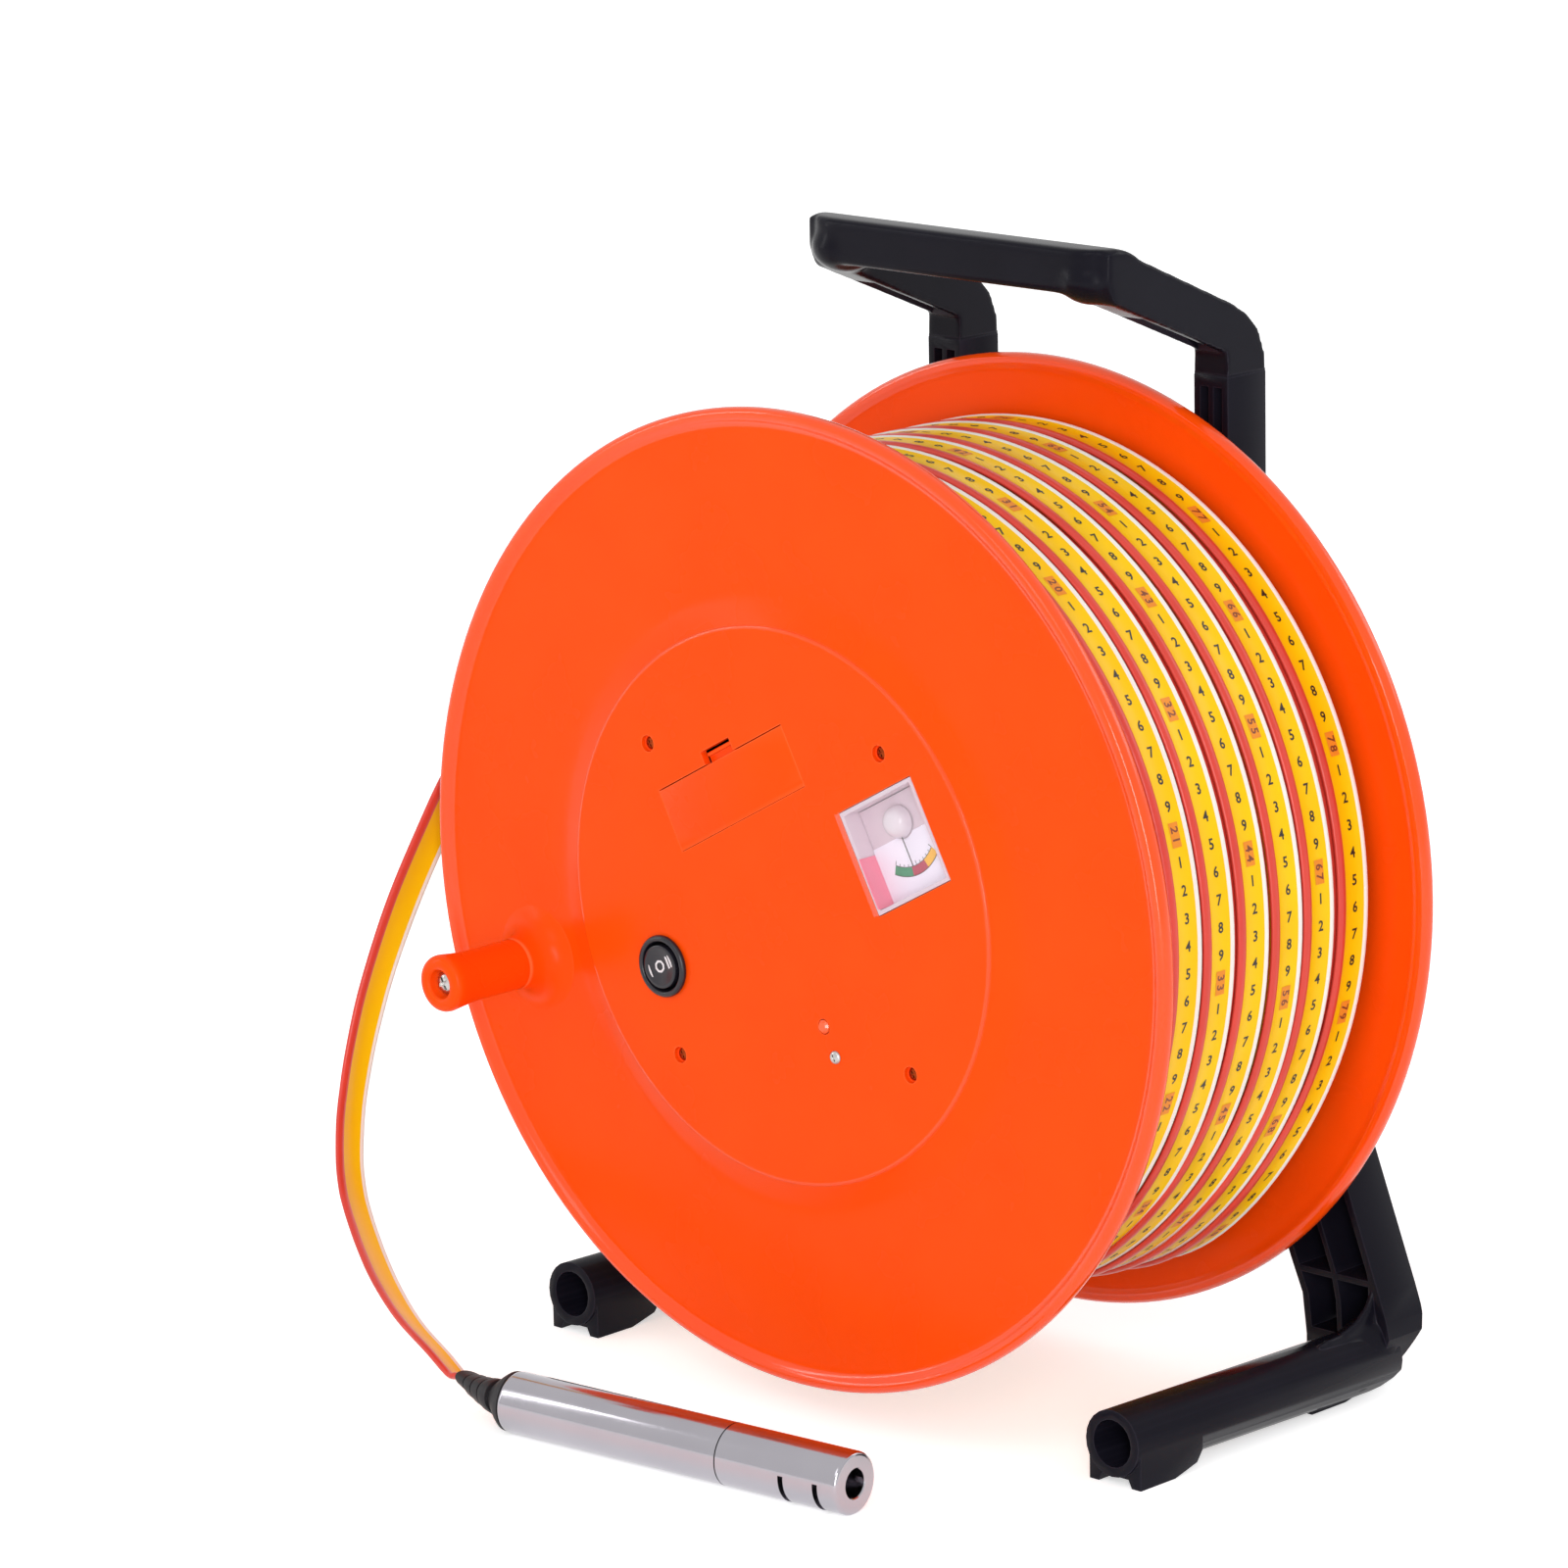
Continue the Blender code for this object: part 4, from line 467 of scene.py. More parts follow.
def number_box(spot, across, along, outwards, number, dark, boxes):
    """Orange box with two figures that read along the tape."""
    alone()
    bpy.ops.mesh.primitive_plane_add(size=1.0)
    box = bpy.context.object
    box.data.transform(facing(spot, across, along, outwards)
                       @ Matrix.Diagonal((BOX_ACROSS * MM, BOX_ALONG * MM, 1, 1)))
    boxes.append(box)
    lifted = spot + outwards * (PRINT_LIFT / 2 * MM)
    for place, figure in enumerate("%02d" % number):
        shift = along * ((0.5 - place) * NUMBER_HIGH * MM)
        dark.append(printed(figure, facing(lifted + shift, -along, across, outwards), NUMBER_HIGH))


ink, boxes, numbers = [], [], []
y_way = Vector((0, 1, 0))
for turn in range(TURN_COUNT):
    turn_ink, turn_boxes, turn_numbers = [], [], []
    for step in range(FIGURES_ROUND):
        angle = turn * TURN_STAGGER - math.radians(360 / FIGURES_ROUND * step)
        out = Vector((math.cos(angle), 0, math.sin(angle)))
        along = Vector((-math.sin(angle), 0, math.cos(angle)))
        spot = at(0, FIRST_TURN_Y + PRINT_ASIDE, 0)
        spot = spot + out * ((TURN_RADIUS + WEB_TOP + PRINT_LIFT) * MM)
        if step % 10:
            plane = facing(spot, y_way, along, out)
            turn_ink.append(printed(str(step % 10), plane, FIGURE_HIGH))
        else:
            number_box(spot, y_way, along, out, 10 * (turn + 1) + step // 10,
                       turn_numbers, turn_boxes)
    for each in turn_ink + turn_boxes + turn_numbers:
        wander(each, turn, turn * TURN_PITCH)
    ink += turn_ink
    boxes += turn_boxes
    numbers += turn_numbers
free_ink, free_boxes = [], []
travelled = 0.0
for here, there in zip(tape_frames, tape_frames[1:]):
    stretch = (there[0] - here[0]).length
    count = int((travelled + stretch) / (PRINTED_CENTIMETRE * MM))
    if int(travelled / (PRINTED_CENTIMETRE * MM)) < count < FREE_FIGURES:
        spot, way, across, thick = here
        spot = spot + thick * ((WEB_TOP + PRINT_LIFT) * MM) + across * (PRINT_ASIDE * MM)
        if count % 10:
            plane = facing(spot, across, way, thick)
            free_ink.append(printed(str(9 - (count - 1) % 10), plane, FIGURE_HIGH))
        else:
            number_box(spot, across, way, thick, 4 - count // 10, free_ink, free_boxes)
    travelled += stretch
for name, group, material, body in (("tape_figures", ink, print_black, "reel"),
                                    ("tape_boxes", boxes, print_orange, "reel"),
                                    ("tape_numbers", numbers, print_brown, "reel"),
                                    ("free_tape_figures", free_ink, print_black, "stand"),
                                    ("free_tape_boxes", free_boxes, print_orange, "stand")):
    alone(*group)
    bpy.ops.object.join()
    bpy.context.object.name = name
    settle(bpy.context.object, body, "tape_plastic", material)


# Reel discs
# Two thin discs injection moulded in glossy orange ABS. Each has a rolled rim, a plain field,
# a sloping band and a raised middle; the front one carries the meter, switch and battery door.
PANEL_TURN = math.radians(28.5)
PANEL_Y = -3.0
KNOB_X, KNOB_Z = -124.99, -39.89


def on_panel(u, v, y):
    """Point in mm from the raised panel's own directions, u across and v up."""
    c, s = math.cos(PANEL_TURN), math.sin(PANEL_TURN)
    return at(u * c - v * s, y, u * s + v * c)


def block(name, size, spot, turned=True):
    """Cube of a size in mm at a spot, turned with the panel."""
    alone()
    bpy.ops.mesh.primitive_cube_add(size=1.0, location=spot,
                                    rotation=(0, -PANEL_TURN if turned else 0, 0))
    made = bpy.context.object
    made.name = name
    made.scale = Vector(size) * MM
    bpy.ops.object.transform_apply(location=True, rotation=True, scale=True)
    return made


def modify(piece, kind, **settings):
    """Give a piece a modifier with its settings and apply it."""
    alone(piece)
    step = piece.modifiers.new(kind, kind)
    for name, value in settings.items():
        setattr(step, name, value)
    bpy.ops.object.modifier_apply(modifier=step.name)
    return piece


def cut(piece, *tools, operation="DIFFERENCE"):
    """Cut a piece with tool shapes, or unite it with them; the tools go."""
    for tool in tools:
        modify(piece, "BOOLEAN", operation=operation, solver="EXACT", object=tool)
        bpy.data.objects.remove(tool)


def rounded(piece, width, segments=3, angle=35.0):
    """Round a piece's edges by a width in mm."""
    return modify(piece, "BEVEL", width=width * MM, segments=segments,
                  limit_method="ANGLE", angle_limit=math.radians(angle))


# Glossy ABS from a polished mould: one deep orange that hardly pales in the light, broad soft
# highlights, and edges a little paler: rubbed, and a painted highlight that draws a light line
# along them
abs_orange = surface("abs_glossy_orange", "#FF5208", "#FC4A04", 0.26, 0.7, 0.006,
                     specular=0.08, edge_wear_and_sheen="#FF8A50")
# The same ABS where the tool was polished to a mirror: a sharp line of light round the rims
abs_polished = surface("abs_polished_edge", "#FF5208", "#FC4A04", 0.13, 0.7, 0.002, specular=0.42)

# Half section of a disc, (radius, y) in mm: out over the front, round the rim and back inside
RIM = [(166.0, 2.45), (168.2, 2.42), (169.5, 1.95), (170.5, 1.0), (171.4, 0.28), (172.5, 0.0),
       (173.6, 0.22), (174.5, 0.95), (175.0, 2.2), (175.0, 4.1), (174.6, 5.4), (173.7, 6.3),
       (172.5, 6.6), (171.0, 6.3), (169.4, 5.7), (167.5, 5.5)]
MIDDLE_FRONT = [(0.0, -3.0), (60.0, -3.0), (98.3, -3.0), (98.8, -2.97), (99.15, -2.84),
                (99.4, -2.6), (99.55, -2.15), (101.2, -1.4), (104.5, -0.25), (107.6, 0.75),
                (109.4, 1.2), (112.0, 1.5), (116.0, 1.62), (140.0, 2.02)]
MIDDLE_BACK = [(140.0, 5.5), (108.0, 5.5), (106.8, 5.2), (97.2, 0.4), (95.8, 0.0),
               (60.0, 0.0), (0.0, 0.0)]
front_disc = spun("front_disc", MIDDLE_FRONT + RIM + MIDDLE_BACK, at(0, 0, 0), steps=180)
BOSS = [(0, -1.9), (9.28, -1.9), (9.28, -12.0), (9.34, -11.0), (9.5, -9.6), (9.8, -7.9),
        (10.3, -6.1), (11.1, -4.2), (12.3, -2.3), (13.8, -0.7), (15.7, 0.6), (18.0, 1.6),
        (20.8, 2.4), (20.5, 4.0), (0, 4.0)]
knob_boss = spun("knob_boss", BOSS, at(KNOB_X, 0, KNOB_Z), steps=64)
SCREW_SPOTS = [on_panel(79.4 * math.cos(a), 79.4 * math.sin(a), 0)
               for a in [math.radians(23 + 90 * i) for i in range(4)]]


def drill(name, radius, start, end, centre, steps=32):
    """Round cutting tool along y between two distances in mm."""
    centre = Vector((centre.x, REEL.y * MM, centre.z))
    return spun(name, [(0, start), (radius, start), (radius, end), (0, end)], centre, steps=steps)


tools = [block("door_tool", (68.5, 10, 23.4), on_panel(0, 44.7, PANEL_Y)),
         block("latch_tool", (15.6, 10, 6.0), on_panel(0, 58.2, PANEL_Y)),
         block("meter_tool", (38.6, 10, 38.6), on_panel(64, 0, PANEL_Y)),
         drill("switch_tool", 10.1, -8, 8, on_panel(-64, 0, 0), 48),
         drill("lamp_tool", 2.8, -8, 8, on_panel(0, -44.8, 0)),
         drill("board_screw_tool", 1.8, -8, 8, on_panel(0, -56.2, 0))]
for spot in SCREW_SPOTS:
    tools.append(drill("seat_tool", 3.0, -8, PANEL_Y + 2.0, spot))
    tools.append(drill("hole_tool", 2.05, -8, 8, spot))
cut(front_disc, *tools)
alone(knob_boss, front_disc)
bpy.ops.object.join()
settle(front_disc, "reel", "orange_plastic", abs_orange, abs_polished, angle=30)


RIM_INNER = 168.8
CREST_INNER, CREST_OUTER = 98.35, 99.6
CREST_FRONT, CREST_REAR = -2.0, 145.9


def polish(disc):
    """Give the rolled rim and the crisp outer edge of the raised middle their mirror gloss."""
    for face in disc.data.polygons:
        middle = face.center - REEL * MM
        radius = math.hypot(middle.x, middle.z) / MM
        outside = not CREST_FRONT * MM < middle.y < CREST_REAR * MM
        crest = CREST_INNER < radius < CREST_OUTER and outside
        face.material_index = 1 if crest or radius > RIM_INNER else 0


polish(front_disc)
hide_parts("front_flange")

# The rear disc is the same moulding turned round, with a hole for the bush
rear_profile = [(radius, 143.9 - y) for radius, y in MIDDLE_FRONT + RIM + MIDDLE_BACK]
rear_profile[0] = (14.3, 146.9)
rear_profile[-1] = (14.3, 143.9)
rear_disc = spun("rear_disc", rear_profile, at(0, 0, 0), steps=180, closed=True)
tools = []
for spot in SCREW_SPOTS:
    tools.append(drill("seat_tool", 4.2, 145.5, 152, spot))
    tools.append(drill("hole_tool", 2.05, 140, 150, spot))
cut(rear_disc, *tools)
settle(rear_disc, "reel", "orange_plastic", abs_orange, abs_polished, angle=30)
polish(rear_disc)
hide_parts("rear_flange")


# Screws
# Zinc-plated steel pan-head screws with a cross recess, headed, rolled and turned into posts of
# the drum core.

# Bright zinc plate: cold grey metal with a soft sparkle. The panel's sunk screws get a dark red
# brown plate colour instead: painted shade of their deep holes and painted reflection of the orange
# walls.
zinc = surface("zinc_plate_bright", "#C9C7C4", "#AFAEAD", 0.28, 0.4, 0.004, metallic=1.0)
zinc_painted_shade = surface("zinc_painted_recess_shade", "#A8441C", "#7E3010", 0.30, 0.4, 0.004, metallic=1.0)


def pan_screw(name, spot, under_head, forward, head, depth, shank, length, body, node,
              plate=zinc):
    """Screw along y with its head's underside at a distance, its head to the front or back.
    Head and shank are radii; all sizes are in mm."""
    f = forward
    dome = ((0, 1), (0.45, 0.96), (0.75, 0.8), (0.93, 0.5), (1, 0.12), (0.97, 0))
    profile = [(head * wide, under_head + f * depth * high) for wide, high in dome]
    profile += [(shank, under_head), (shank, under_head - f * (length - shank)),
                (0, under_head - f * length)]
    centre = Vector((spot.x, REEL.y * MM, spot.z))
    made = spun(name, profile, centre, steps=40)
    face = centre + Vector((0, (under_head + f * depth) * MM, 0))
    for size in ((head * 1.15, depth * 1.1, head * 0.24), (head * 0.24, depth * 1.1, head * 1.15)):
        cut(made, block("cross", size, face))
    settle(made, body, "zinc_plate", plate)
    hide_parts(node)


# The panel's front screws carry the painted shade and painted orange reflection of their holes
for number, spot in enumerate(SCREW_SPOTS, 1):
    pan_screw("front_cross_screw_%d" % number, spot, -0.75, -1, 2.4, 1.1, 1.75, 14, "reel",
              "panel_screw_%d" % number, zinc_painted_shade)
    pan_screw("back_cross_screw_%d" % number, spot, 145.8, 1, 3.6, 1.4, 1.75, 14, "reel",
              "rear_screw_%d" % number)
pan_screw("board_cross_screw", on_panel(0, -56.2, 0), -3.1, -1, 2.4, 1.2, 1.5, 18.6, "reel",
          "board_screw")


# Crank knob
# A smooth round sleeve moulded in orange ABS, flared at its tip, that spins on a long screw. The
# screw's head sits in the sleeve's recess, and its nut behind the disc.
SLEEVE = [(2.8, -2.3), (9.1, -2.3), (9.2, -2.5), (9.2, -14), (9.2, -29), (9.25, -33.5),
          (9.5, -37.5), (9.9, -41.2), (10.25, -43.8), (10.4, -45.4), (10.3, -46.7), (9.85, -47.7),
          (9.0, -48.45), (7.9, -48.8), (6.6, -48.8), (5.8, -48.55), (5.3, -48.0), (5.2, -47.2),
          (5.2, -43.8), (4.9, -43.4), (2.8, -43.4)]
knob = spun("knob_sleeve", SLEEVE, at(KNOB_X, 0, KNOB_Z), closed=True)
settle(knob, "crank_knob", "orange_plastic", abs_orange, angle=40)
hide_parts("crank_knob")
crank_body = frame["nodes"]["crank_screw"]["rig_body"]
pan_screw("crank_cross_screw", at(KNOB_X, 0, KNOB_Z), -43.6, -1, 4.4, 2.6, 2.5, 48.8, crank_body,
          "crank_screw")


# Battery door
# A flat lid moulded in the disc's orange ABS, on two pins along its lower edge. A springy tongue
# with a thumb ridge latches it at the upper edge.
door = block("battery_lid", (68.4, 2.0, 22.8), on_panel(0, 44.6, -2.0))
rounded(door, 0.12, 2)
tongue = rounded(block("lid_tongue", (14.0, 1.0, 6.4), on_panel(0, 57.0, 0.2)), 0.3, 3)
ridge = rounded(block("lid_ridge", (13.0, 1.8, 1.5), on_panel(0, 59.4, -0.8)), 0.6, 3)
pins = block("lid_pins", (71.4, 2.6, 2.6), on_panel(0, 34.75, -1.6))
rounded(pins, 1.2, 5)
alone(tongue, ridge, pins, door)
bpy.ops.object.join()
settle(door, "battery_door", "orange_plastic", abs_orange)
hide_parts("battery_door")


# Panel meter
# A small moving-coil meter: pale styrene case, white dial card with a printed arc and ticks, a
# frosted bell over the movement, a fine black needle and a clear cover that snaps on.
METER_U = 64.0
PIVOT_V = 8.0
INK_Y = 3.93
ARC_START, ARC_END = -36, 37
ARC_INNER, ARC_OUTER = 16.2, 19.2

# Moulded pale polystyrene with a crisp gloss, painted a pale pink grey: painted orange light cast
# on it by the disc round it
styrene_painted_cast = surface("polystyrene_painted_orange_cast", "#DCCAD3", "#D2BAC8", 0.22, 0.8, 0.004)
# Coated card: matt white with a trace of violet
card_white = surface("dial_card_white", "#F4EEFB", "#EDE5F6", 0.55, 0.3, 0.004)
# Screen-printed inks, flat and matt: a dull green, a wine red and a warm amber
dial_green = surface("printing_ink_green", "#238A5E", "#1F7F55", 0.5, 0.3, 0.003)
dial_red = surface("printing_ink_red", "#B52A4C", "#A82544", 0.5, 0.3, 0.003)
dial_amber = surface("printing_ink_amber", "#F5B830", "#EFAE22", 0.5, 0.3, 0.003)


def front_face(piece):
    """In edit mode, select only the faces that look to the front."""
    shape = bmesh.from_edit_mesh(piece.data)
    front = min(face.calc_center_median().y for face in shape.faces if face.normal.y < -0.9)
    for face in shape.faces:
        face.select_set(face.normal.y < -0.9 and face.calc_center_median().y < front + 0.00001)
    shape.select_flush_mode()
    bmesh.update_edit_mesh(piece.data)


def hollowed(piece, wall, depth):
    """Sink the front face by a depth, inside a wall, both in mm."""
    alone(piece)
    bpy.ops.object.mode_set(mode="EDIT")
    bpy.ops.mesh.select_mode(type="FACE")
    bpy.ops.mesh.select_all(action="DESELECT")
    front_face(piece)
    bpy.ops.mesh.inset(thickness=wall * MM)
    bpy.ops.mesh.extrude_region_move(TRANSFORM_OT_translate={"value": (0, depth * MM, 0)})
    bpy.ops.object.mode_set(mode="OBJECT")
    return piece


# The case and its back carry the painted orange cast of the disc
case = hollowed(block("meter_case", (38, 21, 38), on_panel(METER_U, 0, 7.5)), 1.5, 19.5)
rounded(case, 0.2, 2)
settle(case, "reel", "white_plastic", styrene_painted_cast)
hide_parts("meter_housing")
back = block("meter_back", (34.4, 0.6, 34.4), on_panel(METER_U, 0, 4.7))
rounded(back, 0.1, 1)
settle(back, "reel", "white_plastic", styrene_painted_cast)
# A sheet inside the case's left wall, painted a clear strong pink: painted orange light of the disc
# shining through the styrene
painted_glow = surface("polystyrene_painted_glow", "#F2809A", "#EC6E8C", 0.22, 0.8, 0.004)
side = block("meter_side", (0.5, 8.0, 18.6), on_panel(METER_U - 17.2, -7.8, 0))
rounded(side, 0.1, 1)
settle(side, "reel", "white_plastic", painted_glow)
card = block("meter_card", (34.2, 0.4, 20.4), on_panel(METER_U, -6.9, 4.2))
cut(card, drill("card_notch", 6.2, 3.0, 5.5, on_panel(METER_U, PIVOT_V, 0), 48))
rounded(card, 0.08, 1)
settle(card, "reel", "white_plastic", card_white)
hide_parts("meter_dial")


def arc_strip(name, first, last, inner, outer, material):
    """Flat strip of an arc about the needle's pivot, angles from straight down in degrees."""
    alone()
    bpy.ops.mesh.primitive_plane_add(size=0.001)
    made = bpy.context.object
    made.name = name
    shape = bmesh.new()
    pairs = []
    for i in range(13):
        angle = math.radians(first + (last - first) * i / 12)
        pairs.append([shape.verts.new(on_panel(METER_U + r * math.sin(angle),
                                               PIVOT_V - r * math.cos(angle), INK_Y))
                      for r in (inner, outer)])
    for near, far in zip(pairs, pairs[1:]):
        shape.faces.new((near[0], near[1], far[1], far[0]))
    shape.to_mesh(made.data)
    shape.free()
    made.location = (0, 0, 0)
    settle(made, "reel", "white_plastic", material)
    return made


arc_strip("arc_green", ARC_START, -9, ARC_INNER, ARC_OUTER, dial_green)
arc_strip("arc_red", -9, 15, ARC_INNER, ARC_OUTER, dial_red)
arc_strip("arc_amber", 15, ARC_END, ARC_INNER, ARC_OUTER, dial_amber)
ticks = []
for i in range(11):
    slope = ARC_START + 7.3 * i
    long = 1.6 if i % 5 == 0 else 0.9
    ticks.append(arc_strip("arc_tick_%d" % i, slope - 0.5, slope + 0.5,
                           ARC_INNER - 0.2 - long, ARC_INNER - 0.2, print_black))
ticks.append(arc_strip("arc_line", ARC_START, ARC_END, ARC_OUTER, ARC_OUTER + 0.3, print_black))
ticks.append(arc_strip("arc_upper_line", ARC_START, ARC_END, ARC_INNER - 0.25, ARC_INNER,
                       print_black))
alone(*ticks)
bpy.ops.object.join()
# Frosted polystyrene: milky grey, with one small clear highlight on its dome
frosted = surface("polystyrene_frosted", "#E6DCE4", "#CFC0CA", 0.14, 0.6, 0.004)
BELL = [(0, -1.6), (1.5, -1.5), (2.9, -1.1), (4.1, -0.3), (5.0, 0.8), (5.6, 2.2), (5.8, 3.9)]
bell = spun("meter_bell", BELL, on_panel(METER_U, PIVOT_V, 0), steps=48)
settle(bell, "reel", "white_plastic", frosted)
needle = block("meter_pointer", (0.4, 0.3, 11.0), on_panel(METER_U, -2.6, 2.2))
rounded(needle, 0.1, 1)
settle(needle, "meter_needle", "black_rubber", print_black)
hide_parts("meter_needle")
# Clear polystyrene, polished: all but invisible, seen by its gloss and its edges
clear = surface("polystyrene_clear", "#FFFFFF", "#FBF7FA", 0.06, 0.8, 0.0)
clear.node_tree.nodes["Principled BSDF"].inputs["Alpha"].default_value = 0.05
cover = block("meter_window", (38, 2.4, 38), on_panel(METER_U, 0, -4.5))
rounded(cover, 0.35, 3)
settle(cover, "reel", "clear_plastic", clear)
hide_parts("meter_cover")


# Rocker switch
# A round snap-in rocker switch moulded in black nylon: a body with a rounded bezel, and a round
# rocker that tips in it, with its marks printed in white.

# Moulded nylon: black with a touch of violet, satin, with a clear ring of light on the bezel
nylon = surface("nylon_black", "#1E1B24", "#18161D", 0.26, 0.5, 0.006, specular=0.45)
switch_at = on_panel(-64, 0, 0)
switch_at = Vector((switch_at.x, REEL.y * MM, switch_at.z))
BEZEL = [(0, 22), (9.3, 22), (9.8, 21.5), (9.8, -3.2), (11.0, -3.3), (11.25, -3.6), (11.2, -4.3),
         (10.9, -4.9), (10.4, -5.25), (9.8, -5.3), (9.3, -5.1), (9.0, -4.6), (9.0, 5.7), (0, 5.7)]
bezel = spun("switch_bezel", BEZEL, switch_at)
settle(bezel, "reel", "black_plastic", nylon, angle=40)
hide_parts("switch_body")
ROCKER = [(0, 0.4), (4, 0.4), (7.7, -2.4), (7.9, -2.8), (7.9, -5.0), (7.75, -5.4), (7.3, -5.6),
          (6.6, -5.5), (4.5, -5.0), (2.2, -4.75), (0, -4.7)]
rocker = spun("rocker_cap", ROCKER, switch_at)
settle(rocker, "switch_rocker", "black_plastic", nylon, angle=40)
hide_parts("switch_rocker")
# White ink on the rocker: matt and a little grey, like worn paint
print_white = surface("printing_ink_white", "#E9E4E6", "#DCD6D9", 0.5, 0.3, 0.003)
marks = []
c, s = math.cos(PANEL_TURN), math.sin(PANEL_TURN)
panel_u, panel_v = Vector((c, 0, s)), Vector((-s, 0, c))
for spot_u, mark, y in ((-69.4, "I", -5.32), (-64.4, "O", -4.9),
                        (-59.9, "I", -5.1), (-58.2, "I", -5.4)):
    plane = facing(on_panel(spot_u, 0, y), panel_u, panel_v, Vector((0, -1, 0)))
    marks.append(printed(mark, plane, 4.4))
alone(*marks)
bpy.ops.object.join()
marks = bpy.context.object
marks.name = "switch_marks"
settle(marks, "switch_rocker", "white_plastic", print_white)
for glyph in glyphs.values():
    bpy.data.objects.remove(glyph)


# Stand
# One moulding of black glass-filled polypropylene: foot tubes, ribbed legs and uprights, cross
# member with the hub boss, arms and grip. A copy of the CAD node with rounded edges, to which
# the softer forms are added: the grip with its arms, and the knees.

# Moulded polypropylene: black with a blue cast and a fine grain, its edges rubbed grey
polypropylene = surface("polypropylene_black", "#181721", "#100F17", 0.24, 0.8, 0.010,
                        specular=0.08, edge_wear_and_sheen="#3A3744")
stand = copy_of(frame["nodes"]["stand_frame"], "stand_moulding")
stand.hide_render = False
stand.hide_viewport = False
stand.parent = None
# The copy drops the tags that tie the CAD node to its body
for key in list(stand.keys()):
    del stand[key]
alone(stand)
bpy.ops.object.mode_set(mode="EDIT")
bpy.ops.mesh.select_mode(type="VERT")
bpy.ops.mesh.select_all(action="SELECT")
bpy.ops.mesh.remove_doubles(threshold=0.00002)
bpy.ops.mesh.dissolve_limited(angle_limit=math.radians(0.5))
bpy.ops.object.mode_set(mode="OBJECT")
rounded(stand, 0.7, 2, 30)
# Above this height over the axle the uprights, arms and grip are modelled anew, softer
HANDLE_ROOT = 173.0


def trimmed(piece, height, keep_above):
    """Cut a piece level at a height in mm over the reel's axis, and close the cut."""
    alone(piece)
    bpy.ops.object.mode_set(mode="EDIT")
    bpy.ops.mesh.select_all(action="SELECT")
    bpy.ops.mesh.bisect(plane_co=at(0, 0, height), plane_no=(0, 0, 1), use_fill=True,
                        clear_inner=keep_above, clear_outer=not keep_above)
    bpy.ops.object.mode_set(mode="OBJECT")


def slab(name, outline, start, end):
    """Outline of (y, z) points in mm, drawn, filled and made thick along x."""
    piece = drawn(name, [at(start, y, z) for y, z in outline])
    bpy.ops.mesh.edge_face_add()
    bpy.ops.mesh.extrude_region_move(TRANSFORM_OT_translate={"value": ((end - start) * MM, 0, 0)})
    bpy.ops.mesh.select_all(action="SELECT")
    bpy.ops.mesh.normals_make_consistent(inside=False)
    bpy.ops.object.mode_set(mode="OBJECT")
    alone(piece)
    bpy.ops.object.transform_apply(location=True, rotation=True, scale=True)
    return piece


def bulb(name, spot, radii):
    """Egg shape of three radii in mm at a spot."""
    alone()
    bpy.ops.mesh.primitive_uv_sphere_add(segments=32, ring_count=16, radius=1.0, location=spot)
    made = bpy.context.object
    made.name = name
    made.scale = Vector(radii) * MM
    bpy.ops.object.transform_apply(location=True, rotation=True, scale=True)
    return made


def blended(piece, voxel, passes, root=None):
    """Melt joined solids into one skin with soft edges; near a level root they stay crisp."""
    modify(piece, "REMESH", mode="VOXEL", voxel_size=voxel * MM)
    if root is not None:
        group = piece.vertex_groups.new(name="soft")
        for vertex in piece.data.vertices:
            rise = (vertex.co.z - at(0, 0, root).z) / (24 * MM)
            group.add([vertex.index], min(1.0, max(0.05, rise)), "REPLACE")
    modify(piece, "SMOOTH", factor=0.5, iterations=passes,
           vertex_group="" if root is None else "soft")


# Grip: a bar with rounded front corners and a thumb bulge at each end, crowned on top, and two
# arms with a sunk pocket in each side; outlines are (y, z) in mm from the reel's axis
ARM = [(156.0, 164.0), (156.0, 181.0), (96.0, 206.0), (93.0, 214.0), (93.0, 224.6),
       (104.0, 223.6), (112.0, 219.5), (160.0, 198.2), (167.8, 193.4), (173.4, 187.2),
       (176.6, 178.5), (176.6, 164.0)]
POCKET = [(114.0, 194.4), (155.0, 177.4), (155.0, 194.9), (114.0, 213.9)]
CROWN = [(86.0, 223.6), (90.0, 225.0), (95.0, 225.6), (101.0, 225.0), (106.5, 223.0),
         (112.0, 219.4), (112.0, 240.0), (86.0, 240.0)]
THUMB = (13.2, 12.2, 9.4)
handle = block("handle_bar", (143.0, 22.2, 16.4), at(0, 100, 217), turned=False)
alone(handle)
bpy.ops.object.mode_set(mode="EDIT")
bpy.ops.mesh.select_mode(type="EDGE")
bpy.ops.mesh.select_all(action="DESELECT")
shape = bmesh.from_edit_mesh(handle.data)
for edge in shape.edges:
    a, b = (vertex.co for vertex in edge.verts)
    edge.select_set(abs(a.z - b.z) > 0.01 and a.y < at(0, 95, 0).y)
bmesh.update_edit_mesh(handle.data)
bpy.ops.mesh.bevel(offset=14 * MM, segments=10)
bpy.ops.object.mode_set(mode="OBJECT")
cut(handle, bulb("right_thumb", at(58.5, 99.8, 213.8), THUMB),
    bulb("left_thumb", at(-58.5, 99.8, 213.8), THUMB), operation="UNION")
cut(handle, slab("crown", CROWN, -74.0, 74.0))
cut(handle, slab("right_arm", ARM, 55.9, 71.5), slab("left_arm", ARM, -71.5, -55.9),
    operation="UNION")
blended(handle, 1.1, 16, HANDLE_ROOT)
cut(handle, slab("right_pocket", POCKET, 58.7, 68.7), slab("left_pocket", POCKET, -68.7, -58.7))
trimmed(handle, HANDLE_ROOT, True)
trimmed(stand, HANDLE_ROOT, False)

